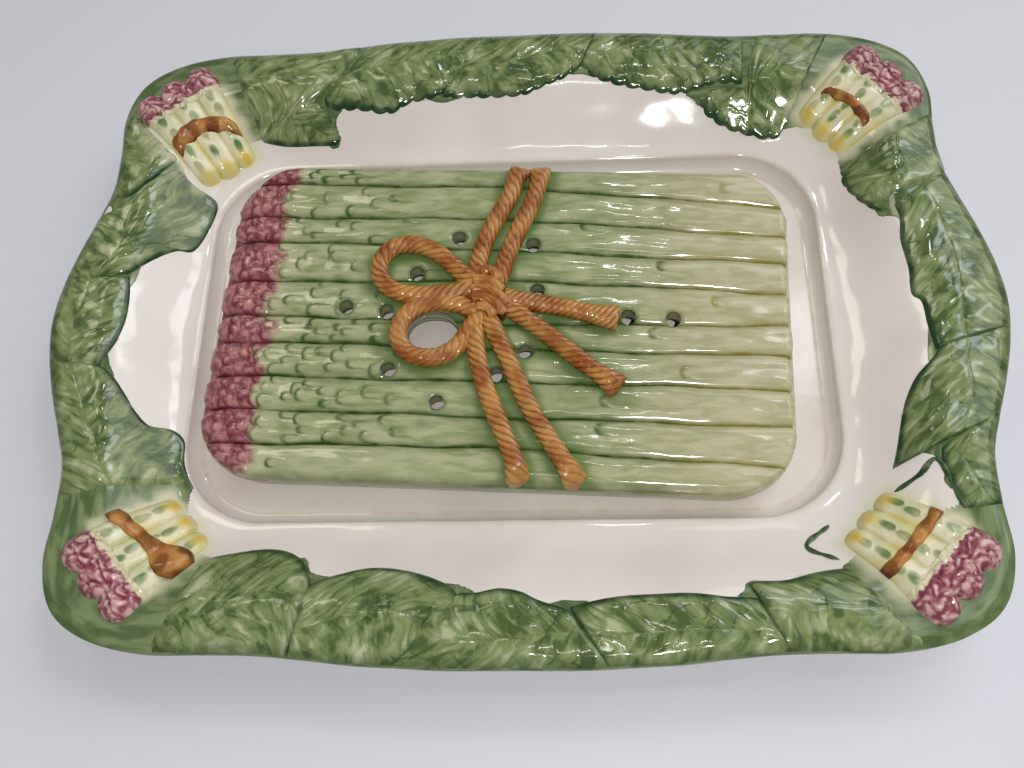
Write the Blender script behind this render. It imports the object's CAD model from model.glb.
"""Asparagus server in glazed earthenware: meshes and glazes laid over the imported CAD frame.

Sizes are in millimetres inside the classes and become metres when a mesh is made. The frame is the
CAD's: X along the length, Y to the far side, Z up, origin on the table under the centre.
"""
from __future__ import annotations

import logging
import math
from collections.abc import Sequence
from dataclasses import dataclass, field
from enum import Enum
from functools import partial

import bpy
import numpy as np
from mathutils import Matrix


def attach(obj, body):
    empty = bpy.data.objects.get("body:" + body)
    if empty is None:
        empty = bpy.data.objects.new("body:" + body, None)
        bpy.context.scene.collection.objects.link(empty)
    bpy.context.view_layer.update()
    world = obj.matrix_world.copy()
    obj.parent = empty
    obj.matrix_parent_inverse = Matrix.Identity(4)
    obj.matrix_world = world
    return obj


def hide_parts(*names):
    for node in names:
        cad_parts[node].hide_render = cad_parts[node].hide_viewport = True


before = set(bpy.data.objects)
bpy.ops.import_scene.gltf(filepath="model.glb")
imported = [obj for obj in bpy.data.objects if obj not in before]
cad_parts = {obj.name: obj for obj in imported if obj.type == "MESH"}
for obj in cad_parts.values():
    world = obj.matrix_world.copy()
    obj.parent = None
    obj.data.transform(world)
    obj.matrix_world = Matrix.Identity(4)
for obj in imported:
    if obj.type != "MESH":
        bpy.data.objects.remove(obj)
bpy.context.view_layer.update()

log = logging.getLogger("asparagus_server")
Array = np.ndarray
Socket = bpy.types.NodeSocket
Colour = tuple[float, float, float]
Places = tuple[tuple[float, float], ...]
Path = list[tuple[float, float]]
MM = 0.001
SHARP_ANGLE = math.radians(72)


# Small numeric helpers
def ease(s: Array | float) -> Array:
    """Smooth step from 0 to 1: s squared times three less twice s."""
    c = np.clip(s, 0.0, 1.0)
    return c * c * (3.0 - 2.0 * c)


def grid_of(down: Array, across: Array) -> tuple[Array, Array]:
    """Grid of two parameters, one changing by rows and the other by columns."""
    return np.broadcast_arrays(down[:, None], across[None, :])


def ripple(x: Array, y: Array, size: float, seed: float) -> Array:
    """Soft uneven field of about -1 to 1.

    The mean of five sines whose directions and phases follow the seed.

    Args:
        x: First coordinate.
        y: Second coordinate.
        size: Wavelength in the units of the coordinates.
        seed: Any number; it picks the directions and phases.

    Returns:
        The field at each point.
    """
    total = np.zeros(np.broadcast(x, y).shape)
    for i in range(5):
        turn = seed * 1.7 + i * 2.399
        rate = 2.0 * math.pi / size * (0.7 + 0.17 * i)
        total += np.sin(rate * (x * math.cos(turn) + y * math.sin(turn)) + seed * 3.1 + i * i)
    return total / 2.6


def curve_through(points: Array, count: int) -> Array:
    """Smooth curve through points, sampled evenly along its length.

    A Catmull-Rom blend of the neighbours, then a linear resampling on arc length.

    Args:
        points: The points, one row each.
        count: Number of samples.

    Returns:
        The samples, one row each.
    """
    p = np.vstack([2 * points[:1] - points[1:2], points, 2 * points[-1:] - points[-2:-1]])
    s = np.linspace(0.0, 1.0, 16, endpoint=False)[None, :, None]
    a, b, c, d = (p[i:len(p) - 3 + i, None, :] for i in range(4))
    square, cube = 2 * a - 5 * b + 4 * c - d, 3 * b - a - 3 * c + d
    fine = 0.5 * (2 * b + (c - a) * s + square * s ** 2 + cube * s ** 3)
    fine = np.vstack([fine.reshape(-1, points.shape[1]), points[-1:]])
    step = np.linalg.norm(np.diff(fine[:, :2], axis=0), axis=1)
    run = np.concatenate([[0.0], np.cumsum(step)])
    at = np.linspace(0.0, run[-1], count)
    return np.stack([np.interp(at, run, fine[:, i]) for i in range(fine.shape[1])], axis=1)


def polar(angle: Array, reach: Array | float, shift: Array | float = 0.0) -> Array:
    """Places at directions in degrees and distances, moved back along X."""
    turn = np.radians(angle)
    return np.stack([reach * np.cos(turn) - shift, reach * np.sin(turn)], axis=-1)


def rounded_reach(angle: Array, half_x: float, half_y: float, corner: float) -> Array:
    """Distance from the middle to the outline of a rounded rectangle.

    Where the direction passes a straight side, its half size over the direction's cosine or sine, and
    otherwise the far root of the circle of the corner.

    Args:
        angle: Directions in degrees.
        half_x: Half its size along X.
        half_y: Half its size along Y.
        corner: Radius of its corners.

    Returns:
        The distances.
    """
    c, s = np.abs(np.cos(np.radians(angle))), np.abs(np.sin(np.radians(angle)))
    cx, cy = half_x - corner, half_y - corner
    d = cx * c + cy * s
    arc = d + np.sqrt(np.maximum(0.0, d * d - cx * cx - cy * cy + corner * corner))
    with np.errstate(divide="ignore"):
        return np.where(half_x * s <= cy * c, half_x / c, np.where(half_y * c <= cx * s, half_y / s, arc))


def quarter(share: Array) -> Array:
    """Quarter round: rises from 0 to 1 as a circle does, over a share from 0 to 1."""
    return np.sqrt(1 - (1 - np.clip(share, 0, 1)) ** 2)


def bell(distance: Array, size: Array | float) -> Array:
    """Bell of a distance: e to the less square of its share of the size."""
    return np.exp(-((distance / size) ** 2))


def headings(line: Array) -> Array:
    """Unit directions along a line of points."""
    way = np.gradient(line, axis=0)
    return way / np.linalg.norm(way, axis=1, keepdims=True)


def polygon_gap(x: Array, y: Array, outline: Array) -> Array:
    """Distance from points to a closed polygon, zero inside it.

    The nearest foot on each side, and a crossing count for the inside.

    Args:
        x: Places along X.
        y: Places along Y.
        outline: Corners of the polygon, one row each.

    Returns:
        The distances.
    """
    a, b = outline, np.roll(outline, -1, axis=0)
    near = np.full(x.shape, 1e9)
    inside = np.zeros(x.shape, bool)
    for (ax, ay), (bx, by) in zip(a, b):
        dx, dy = bx - ax, by - ay
        f = np.clip(((x - ax) * dx + (y - ay) * dy) / max(dx * dx + dy * dy, 1e-9), 0.0, 1.0)
        near = np.minimum(near, np.hypot(x - ax - f * dx, y - ay - f * dy))
        if dy:
            inside ^= ((ay > y) != (by > y)) & (x < ax + (y - ay) * dx / dy)
    return np.where(inside, 0.0, near)


# Objects and meshes
def put(name: str, data: bpy.types.ID) -> bpy.types.Object:
    """Makes an object of a mesh, lamp or camera and links it into the scene."""
    made = bpy.data.objects.new(name, data)
    bpy.context.scene.collection.objects.link(made)
    return made


def pose(*columns: Sequence[float]) -> Matrix:
    """Matrix of an object's three axes and its place."""
    turn = np.eye(4)
    turn[:3] = np.column_stack(columns)
    return Matrix(turn.tolist())


@dataclass
class Mesh:
    """Points, faces and point values of a mesh under construction."""

    points: Array
    faces: list[Array]
    values: dict[str, Array] = field(default_factory=dict)

    @staticmethod
    def grid_faces(rows: int, columns: int, wrap: bool = False) -> Array:
        """Quads between neighbouring rows and columns of a grid, wrapped round the columns if asked.

        Args:
            rows: Number of rows.
            columns: Number of columns.
            wrap: Whether the last column meets the first.

        Returns:
            The faces, one row each.
        """
        i = np.arange(rows - 1)[:, None] * columns
        j = np.arange(columns if wrap else columns - 1)[None, :]
        k = (j + 1) % columns
        return np.stack([i + j, i + k, i + k + columns, i + j + columns], axis=-1).reshape(-1, 4)

    @classmethod
    def rings(cls, rings: Array, values: dict[str, Array] | None = None) -> Mesh:
        """Closed body between rings of equally many points, with a fan over each end.

        Args:
            rings: Array of rings by points by three.
            values: Point values, each an array of rings by points.

        Returns:
            The mesh.
        """
        rows, columns = rings.shape[:2]
        points = np.vstack([rings.reshape(-1, 3), rings[0].mean(0), rings[-1].mean(0)])
        j = np.arange(columns)
        k = (j + 1) % columns
        top, last = rows * columns, (rows - 1) * columns
        fans = np.concatenate([
            np.stack([k, j, np.full(columns, top)], axis=1),
            np.stack([last + j, last + k, np.full(columns, top + 1)], axis=1),
        ])
        kept = {
            n: np.concatenate([v.ravel(), [v[0].mean(), v[-1].mean()]]) for n, v in (values or {}).items()
        }
        return cls(points, [cls.grid_faces(rows, columns, True), fans], kept).outward()

    @classmethod
    def shell(cls, top: Array, bottom: Array, values: dict[str, Array] | None = None) -> Mesh:
        """Closed body between an upper and a lower grid, walled round its edge.

        Args:
            top: Array of rows by columns by three.
            bottom: Array of the same shape.
            values: Point values of the upper grid, which the lower grid takes too.

        Returns:
            The mesh.
        """
        rows, columns = top.shape[:2]
        under = rows * columns
        quads = cls.grid_faces(rows, columns)
        index = np.arange(under).reshape(rows, columns)
        edge = np.concatenate([index[0], index[1:, -1], index[-1, -2::-1], index[-2:0:-1, 0]])
        after = np.roll(edge, -1)
        walls = np.stack([after, edge, edge + under, after + under], axis=1)
        kept = {n: np.concatenate([v.ravel(), v.ravel()]) for n, v in (values or {}).items()}
        points = np.vstack([top.reshape(-1, 3), bottom.reshape(-1, 3)])
        return cls(points, [quads, quads[:, ::-1] + under, walls], kept).outward()

    def outward(self) -> Mesh:
        """Turns every face round where the body's signed volume is negative, and returns the mesh.

        Returns:
            The mesh.
        """
        volume = 0.0
        for group in self.faces:
            p = self.points[group]
            for i in range(1, group.shape[1] - 1):
                volume += float(np.einsum("ij,ij->", p[:, 0], np.cross(p[:, i], p[:, i + 1])))
        if volume < 0:
            self.faces = [group[:, ::-1] for group in self.faces]
        return self

    @classmethod
    def together(cls, meshes: list[Mesh]) -> Mesh:
        """Several meshes as one, with the values that any of them has.

        Args:
            meshes: The meshes.

        Returns:
            The joined mesh.
        """
        values = {}
        for name in {key: None for mesh in meshes for key in mesh.values}:
            parts = [mesh.values.get(name, np.zeros(len(mesh.points))) for mesh in meshes]
            values[name] = np.concatenate(parts)
        starts = np.cumsum([0] + [len(mesh.points) for mesh in meshes])
        faces = [group + start for mesh, start in zip(meshes, starts) for group in mesh.faces]
        return cls(np.vstack([mesh.points for mesh in meshes]), faces, values)

    def piece(
        self, name: str, body: str, slot: str, nodes: list[str], finish: bpy.types.Material,
    ) -> bpy.types.Object:
        """Makes the Blender object and ties it to the frame.

        Args:
            name: Name of the piece.
            body: CAD body that it rides on.
            slot: Material slot of the record.
            nodes: CAD nodes that it stands for.
            finish: Its material.

        Returns:
            The object.
        """
        mesh = bpy.data.meshes.new(name)
        mesh.vertices.add(len(self.points))
        mesh.vertices.foreach_set("co", (self.points * MM).astype(np.float32).ravel())
        loops = np.concatenate([group.ravel() for group in self.faces]).astype(np.int32)
        sizes = np.concatenate([np.full(len(group), group.shape[1]) for group in self.faces])
        mesh.loops.add(len(loops))
        mesh.loops.foreach_set("vertex_index", loops)
        mesh.polygons.add(len(sizes))
        starts = np.concatenate([[0], np.cumsum(sizes)[:-1]]).astype(np.int32)
        mesh.polygons.foreach_set("loop_start", starts)
        mesh.polygons.foreach_set("use_smooth", np.ones(len(sizes), bool))
        mesh.update(calc_edges=True)
        for key, value in self.values.items():
            layer = mesh.attributes.new(key, "FLOAT", "POINT")
            layer.data.foreach_set("value", value.astype(np.float32))
        mesh.validate()
        mesh.set_sharp_from_angle(angle=SHARP_ANGLE)
        mesh.materials.append(finish)
        made = put(name, mesh)
        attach(made, body)
        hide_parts(*nodes)
        log.info("%s: %d faces", name, len(sizes))
        return made


# Node graphs
class Graph:
    """Short calls for building a node tree."""

    def __init__(self, tree: bpy.types.NodeTree) -> None:
        """Keeps the tree."""
        self.tree = tree

    def node(self, kind: str, **settings: object) -> bpy.types.Node:
        """Adds a node and sets its properties.

        Args:
            kind: Blender's name of the node.
            settings: Its properties.

        Returns:
            The node.
        """
        made = self.tree.nodes.new(kind)
        for key, value in settings.items():
            setattr(made, key, value)
        return made

    def feed(self, socket: Socket, value: object) -> None:
        """Links a socket into another, or sets its value.

        Args:
            socket: The socket to feed.
            value: What goes in.
        """
        if isinstance(value, Socket):
            self.tree.links.new(value, socket)
        else:
            socket.default_value = value

    def fed(
        self, kind: str, inputs: dict[str | int, object], output: str | int = 0, **settings: object,
    ) -> Socket:
        """Adds a node, sets its properties and feeds its inputs.

        Args:
            kind: Blender's name of the node.
            inputs: What goes in, by the name or number of the input.
            output: Name or number of the output.
            settings: Its properties.

        Returns:
            The output.
        """
        made = self.node(kind, **settings)
        for key, value in inputs.items():
            self.feed(made.inputs[key], value)
        return made.outputs[output]

    def attribute(self, name: str) -> Socket:
        """Value of a point attribute of the piece."""
        return self.node("ShaderNodeAttribute", attribute_name=name).outputs["Fac"]

    def math(self, operation: str, *values: object, clamp: bool = False) -> Socket:
        """One math step over one to three values."""
        return self.fed("ShaderNodeMath", dict(enumerate(values)), operation=operation, use_clamp=clamp)

    def times(self, a: object, b: object, clamp: bool = False) -> Socket:
        """Product of two values."""
        return self.math("MULTIPLY", a, b, clamp=clamp)

    def plus(self, a: object, b: object) -> Socket:
        """Sum of two values."""
        return self.math("ADD", a, b)

    def swing(self, value: object, size: float) -> Socket:
        """A value round a half, turned into one round zero of a given size."""
        return self.times(self.math("SUBTRACT", value, 0.5), size)

    def ramp(
        self, value: object, low: float, high: float, to_low: float = 0.0, to_high: float = 1.0,
    ) -> Socket:
        """Smooth change from one value to another while the input goes from low to high."""
        limits = {"Value": value, "From Min": low, "From Max": high, "To Min": to_low, "To Max": to_high}
        return self.fed("ShaderNodeMapRange", limits, interpolation_type="SMOOTHSTEP")

    def blend(self, share: object, a: object, b: object) -> Socket:
        """Mix of two colours by the share of the second."""
        return self.fed("ShaderNodeMix", {0: share, 6: a, 7: b}, 2, data_type="RGBA")

    def noise(self, vector: object, scale: float, detail: float = 3.0, warp: float = 0.0) -> Socket:
        """Noise value from 0 to 1 at a vector."""
        inputs = {"Vector": vector, "Scale": scale, "Detail": detail, "Distortion": warp}
        return self.fed("ShaderNodeTexNoise", inputs, "Fac")

    def place(self) -> Socket:
        """Object coordinates."""
        return self.node("ShaderNodeTexCoord").outputs["Object"]

    def vector(self, x: object, y: object, z: object = 0.0) -> Socket:
        """Vector of three values."""
        return self.fed("ShaderNodeCombineXYZ", {"X": x, "Y": y, "Z": z})


def srgb(red: int, green: int, blue: int) -> tuple[float, float, float, float]:
    """Linear colour of an sRGB colour of 0 to 255.

    Args:
        red: Red.
        green: Green.
        blue: Blue.

    Returns:
        Linear colour with an alpha of one.
    """
    def one(v: int) -> float:
        """Linear value of one channel."""
        s = v / 255.0
        return s / 12.92 if s <= 0.04045 else ((s + 0.055) / 1.055) ** 2.4
    return one(red), one(green), one(blue), 1.0


def node_group(name: str, inputs: dict[str, str], outputs: dict[str, str]) -> tuple[Graph, object, object]:
    """Makes an empty node group.

    Args:
        name: Name of the group.
        inputs: Kind of each input, such as Float, by name.
        outputs: Kind of each output by name.

    Returns:
        The group's graph, the sockets that its inputs come from and those that its outputs go to.
    """
    group = bpy.data.node_groups.new(name, "ShaderNodeTree")
    for way, sockets in (("INPUT", inputs), ("OUTPUT", outputs)):
        for key, kind in sockets.items():
            group.interface.new_socket(key, in_out=way, socket_type="NodeSocket" + kind)
    g = Graph(group)
    return g, g.node("NodeGroupInput").outputs, g.node("NodeGroupOutput").inputs


def glaze_wobble_group() -> None:
    """Group: height of a poured glaze, from slow waves, orange peel, dents and rare pinholes."""
    g, start, end = node_group(
        "glaze_wobble", {"Vector": "Vector", "Peel": "Float"}, {"Height": "Float", "Speck": "Float"})
    place, strength = start[:2]
    slow, peel, dents = (g.noise(place, scale, 1.0) for scale in (45.0, 300.0, 120.0))
    speck = g.ramp(g.noise(place, 900.0, 1.0), 0.74, 0.8)
    height = g.plus(slow, g.times(g.plus(peel, g.times(dents, 1.2)), strength))
    g.feed(end[0], g.math("SUBTRACT", height, g.times(speck, 0.25)))
    g.feed(end[1], speck)


def brush_stroke_group() -> None:
    """Group: brush strokes drawn along one coordinate and uneven across the other."""
    g, start, end = node_group(
        "brush_strokes", {"Along": "Float", "Across": "Float"}, {"Wash": "Float", "Hair": "Float"})
    along, across = start[:2]
    wide = g.vector(g.times(along, 0.075), g.times(across, 0.3))
    thin = g.vector(g.times(along, 0.11), g.times(across, 1.1), 3.0)
    g.feed(end[0], g.noise(wide, 1.0, 3.0, 0.6))
    g.feed(end[1], g.noise(thin, 1.0, 2.0, 0.3))


def pooled_glaze_group() -> None:
    """Group: a colour that darkens and saturates where the glaze pools."""
    g, start, end = node_group(
        "pooled_glaze", {"Thin": "Color", "Deep": "Color", "Pool": "Float", "Vector": "Vector"},
        {"Color": "Color"})
    thin, deep, pool, place = start[:4]
    uneven = g.ramp(g.noise(place, 140.0, 3.0), 0.3, 0.7, 0.6, 1.15)
    g.feed(end[0], g.blend(g.times(pool, uneven, clamp=True), thin, deep))


@dataclass(frozen=True)
class Glaze:
    """A glossy fired finish; each kind paints its own colour and height."""

    name: str
    roughness: float = 0.09
    bump: float = 0.3
    peel: float = 0.12
    bump_depth: float = 0.0005
    speck_roughness: float = 0.2

    def paint(self, g: Graph) -> tuple[Socket, object]:
        """Colour socket, and the extra height's socket or zero."""
        raise NotImplementedError

    def group(self, g: Graph, name: str, **values: object) -> bpy.types.Node:
        """Places a shared node group and feeds its inputs.

        Args:
            g: The material's graph.
            name: Name of the group.
            values: Values of its inputs by name.

        Returns:
            The placed node.
        """
        made = g.node("ShaderNodeGroup", node_tree=bpy.data.node_groups[name])
        for key, value in values.items():
            g.feed(made.inputs[key], value)
        return made

    def strokes(self, g: Graph, along: str = "along", across: str = "across") -> tuple[Socket, Socket]:
        """Wash and hair of the brush strokes along two attributes."""
        made = self.group(g, "brush_strokes", Along=g.attribute(along), Across=g.attribute(across))
        return tuple(made.outputs)

    def pooled(self, g: Graph, thin: object, deep: object, pool: object) -> Socket:
        """Colour that goes over into a deep one where the glaze pools."""
        return self.group(g, "pooled_glaze", Thin=thin, Deep=deep, Pool=pool, Vector=g.place()).outputs[0]

    def material(self) -> bpy.types.Material:
        """The Blender material of the finish.

        Returns:
            The material.
        """
        made = bpy.data.materials.new(self.name)
        made.use_nodes = True
        g = Graph(made.node_tree)
        shader = made.node_tree.nodes["Principled BSDF"]
        wobble = self.group(g, "glaze_wobble", Vector=g.place(), Peel=self.peel)
        colour, height = self.paint(g)
        g.feed(shader.inputs["Base Color"], colour)
        rough = g.plus(g.times(wobble.outputs["Speck"], self.speck_roughness), self.roughness)
        g.feed(shader.inputs["Roughness"], rough)
        bump = g.node("ShaderNodeBump")
        bump.inputs["Strength"].default_value = self.bump
        bump.inputs["Distance"].default_value = self.bump_depth
        g.feed(bump.inputs["Height"], g.plus(wobble.outputs["Height"], height))
        g.feed(shader.inputs["Normal"], bump.outputs[0])
        return made


@dataclass(frozen=True)
class CreamGlaze(Glaze):
    """Cream glaze of the dish, with green paint on the rim and a warm line where glaze pools."""

    def paint(self, g: Graph) -> tuple[Socket, object]:
        """Cream with faint clouds, a pooled line and the painted corners.

        Args:
            g: The material's graph.

        Returns:
            Colour, and extra height or zero.
        """
        cloud = g.ramp(g.noise(g.place(), 14.0, 2.0), 0.35, 0.65)
        cream = g.blend(cloud, srgb(213, 205, 199), srgb(222, 215, 210))
        cream = self.pooled(g, cream, srgb(184, 168, 146), g.attribute("pool"))
        green = g.attribute("green")
        wash, hair = self.strokes(g, "round", "share")
        leaf = g.blend(g.ramp(wash, 0.35, 0.68), srgb(74, 96, 54), srgb(120, 136, 92))
        leaf = g.blend(g.ramp(green, 0.95, 0.6, 0.0, 0.7), leaf, srgb(48, 76, 38))
        both = g.blend(g.ramp(g.plus(green, g.swing(hair, 0.5)), 0.42, 0.58), cream, leaf)
        return g.blend(g.times(g.attribute("halo"), 0.85), both, srgb(206, 203, 172)), 0.0


@dataclass(frozen=True)
class LeafGlaze(Glaze):
    """Green glaze brushed out from each leaf's midrib, dark along the edges and in the veins."""

    def paint(self, g: Graph) -> tuple[Socket, object]:
        """Washes of three greens along the veins, dark lines and pale ridges.

        Args:
            g: The material's graph.

        Returns:
            Colour, and extra height or zero.
        """
        wash, hair = self.strokes(g)
        patch = g.noise(g.place(), 65.0, 3.0, 0.8)
        cloudy = g.plus(wash, g.swing(patch, 0.9))
        base = g.blend(g.ramp(cloudy, 0.3, 0.56), srgb(72, 92, 48), srgb(122, 137, 86))
        base = g.blend(g.ramp(cloudy, 0.54, 0.8), base, srgb(170, 176, 140))
        base = g.blend(g.ramp(hair, 0.5, 0.75, 0.0, 0.1), base, srgb(156, 162, 118))
        base = g.blend(g.ramp(hair, 0.48, 0.25, 0.0, 0.22), base, srgb(66, 88, 40))
        away = g.math("ABSOLUTE", g.swing(g.noise(g.place(), 40.0, 2.0, 1.4), 1.0))
        crease = g.times(g.ramp(away, 0.022, 0.002), g.ramp(patch, 0.58, 0.44, 0.0, 0.7))
        vein = g.times(g.attribute("vein"), g.ramp(patch, 0.38, 0.6, 0.0, 0.75))
        base = self.pooled(g, base, srgb(44, 72, 34), g.math("MAXIMUM", vein, crease))
        base = self.pooled(g, base, srgb(28, 62, 32), g.times(g.attribute("edge"), 0.95))
        pale = g.times(g.attribute("pale"), g.ramp(wash, 0.3, 0.65, 0.5, 1.0), clamp=True)
        height = g.math("SUBTRACT", g.times(hair, 0.08), g.times(crease, 0.25))
        return g.blend(pale, base, srgb(196, 196, 162)), height


@dataclass(frozen=True)
class SpearGlaze(Glaze):
    """Pale green glaze of the drainer, pink at the tips, yellow at the cut ends, dark in the grooves."""

    def paint(self, g: Graph) -> tuple[Socket, object]:
        """Colour changes along the drainer and deepens in the grooves.

        Args:
            g: The material's graph.

        Returns:
            Colour, and extra height or zero.
        """
        place = g.place()
        wash, hair = self.strokes(g)
        at = g.plus(g.attribute("along"), g.swing(g.noise(place, 75.0, 2.0), 24.0))
        green = g.blend(g.ramp(wash, 0.3, 0.7), srgb(130, 141, 96), srgb(168, 172, 134))
        green = g.blend(g.ramp(hair, 0.55, 0.75, 0.0, 0.4), green, srgb(180, 184, 148))
        green = g.blend(g.ramp(at, -84.0, -100.0, 0.0, 0.7), green, srgb(186, 184, 146))
        yellow = g.blend(g.ramp(wash, 0.35, 0.65), srgb(172, 168, 132), srgb(192, 185, 154))
        shade = g.attribute("shade")
        green = g.blend(g.ramp(shade, 0.0, 1.0, 0.0, 0.85), green, srgb(84, 112, 52))
        green = g.blend(g.ramp(shade, 0.0, -1.0), green, srgb(174, 177, 142))
        body = g.blend(g.ramp(at, 30.0, 112.0), green, yellow)
        deep = g.blend(g.ramp(at, 52.0, 96.0), srgb(58, 86, 34), srgb(142, 136, 60))
        body = self.pooled(g, body, deep, g.attribute("groove"))
        pink = g.blend(g.ramp(g.noise(place, 300.0, 2.0), 0.36, 0.62), srgb(132, 76, 82), srgb(178, 124, 122))
        pink = self.pooled(g, pink, srgb(98, 38, 48), g.attribute("groove"))
        return g.blend(g.ramp(at, -95.0, -102.0), body, pink), g.times(hair, 0.07)


@dataclass(frozen=True)
class StalkGlaze(Glaze):
    """Cream-yellow glaze of the corner bundles with green scales and ochre cut ends."""

    def paint(self, g: Graph) -> tuple[Socket, object]:
        """Cream, green in the scales and grooves, ochre at the ends.

        Args:
            g: The material's graph.

        Returns:
            Colour, and extra height or zero.
        """
        mottled = g.noise(g.place(), 120.0, 3.0)
        base = g.blend(g.ramp(mottled, 0.35, 0.65), srgb(200, 200, 158), srgb(222, 217, 190))
        groove = g.times(g.attribute("groove"), g.ramp(mottled, 0.3, 0.7, 0.7, 0.2))
        base = g.blend(groove, base, srgb(160, 164, 94))
        scale = g.times(g.attribute("scale"), g.ramp(mottled, 0.32, 0.62, 1.0, 0.55), clamp=True)
        base = g.blend(scale, base, srgb(88, 120, 70))
        ochre = g.times(g.attribute("ochre"), g.ramp(mottled, 0.3, 0.7, 0.55, 1.0), clamp=True)
        return g.blend(ochre, base, srgb(214, 184, 78)), 0.0


@dataclass(frozen=True)
class TipGlaze(Glaze):
    """Pink glaze of the corner bundles' tips, maroon between the buds and cream on their tops."""

    def paint(self, g: Graph) -> tuple[Socket, object]:
        """Pink from cream tops to maroon hollows.

        Args:
            g: The material's graph.

        Returns:
            Colour, and extra height or zero.
        """
        place = g.place()
        bead = g.noise(place, 330.0, 2.0)
        patch = g.noise(place, 110.0, 2.0)
        pink = g.blend(g.ramp(bead, 0.38, 0.62), srgb(128, 66, 78), srgb(170, 112, 116))
        light = g.ramp(g.plus(g.times(bead, 0.6), g.times(patch, 0.4)), 0.5, 0.64, 0.0, 0.65)
        pink = g.blend(light, pink, srgb(206, 172, 164))
        pink = g.blend(g.times(g.attribute("crest"), 0.65), pink, srgb(220, 188, 184))
        hollow = g.times(g.attribute("groove"), g.ramp(patch, 0.35, 0.65, 1.0, 0.4))
        pink = self.pooled(g, pink, srgb(116, 42, 62), hollow)
        root = g.ramp(g.plus(g.attribute("root"), g.swing(bead, 1.6)), 0.45, 0.7)
        return g.blend(root, pink, srgb(206, 200, 166)), 0.0


@dataclass(frozen=True)
class RopeGlaze(Glaze):
    """Warm brown glaze of the rope bow and the ties, dark between the strands."""

    def paint(self, g: Graph) -> tuple[Socket, object]:
        """Brown with uneven washes and dark lay lines.

        Args:
            g: The material's graph.

        Returns:
            Colour, and extra height or zero.
        """
        wash = g.noise(g.place(), 110.0, 3.0)
        base = g.blend(g.ramp(wash, 0.34, 0.66), srgb(144, 82, 28), srgb(184, 134, 72))
        base = g.blend(g.times(g.attribute("pale"), 0.7), base, srgb(180, 138, 78))
        return self.pooled(g, base, srgb(92, 36, 4), g.attribute("groove")), 0.0


@dataclass(frozen=True)
class BareClay(Glaze):
    """Unglazed biscuit clay of the foot ring, rubbed grey where it stands."""

    def paint(self, g: Graph) -> tuple[Socket, object]:
        """Chalky clay with grain and rubbed patches.

        Args:
            g: The material's graph.

        Returns:
            Colour, and extra height or zero.
        """
        place = g.place()
        grain = g.noise(place, 900.0, 4.0)
        rubbed = g.ramp(g.noise(place, 55.0, 3.0), 0.42, 0.7, 0.0, 0.6)
        clay = g.blend(g.ramp(grain, 0.3, 0.7), srgb(222, 208, 190), srgb(238, 228, 214))
        return g.blend(rubbed, clay, srgb(196, 186, 172)), g.times(grain, 1.2)


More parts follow.
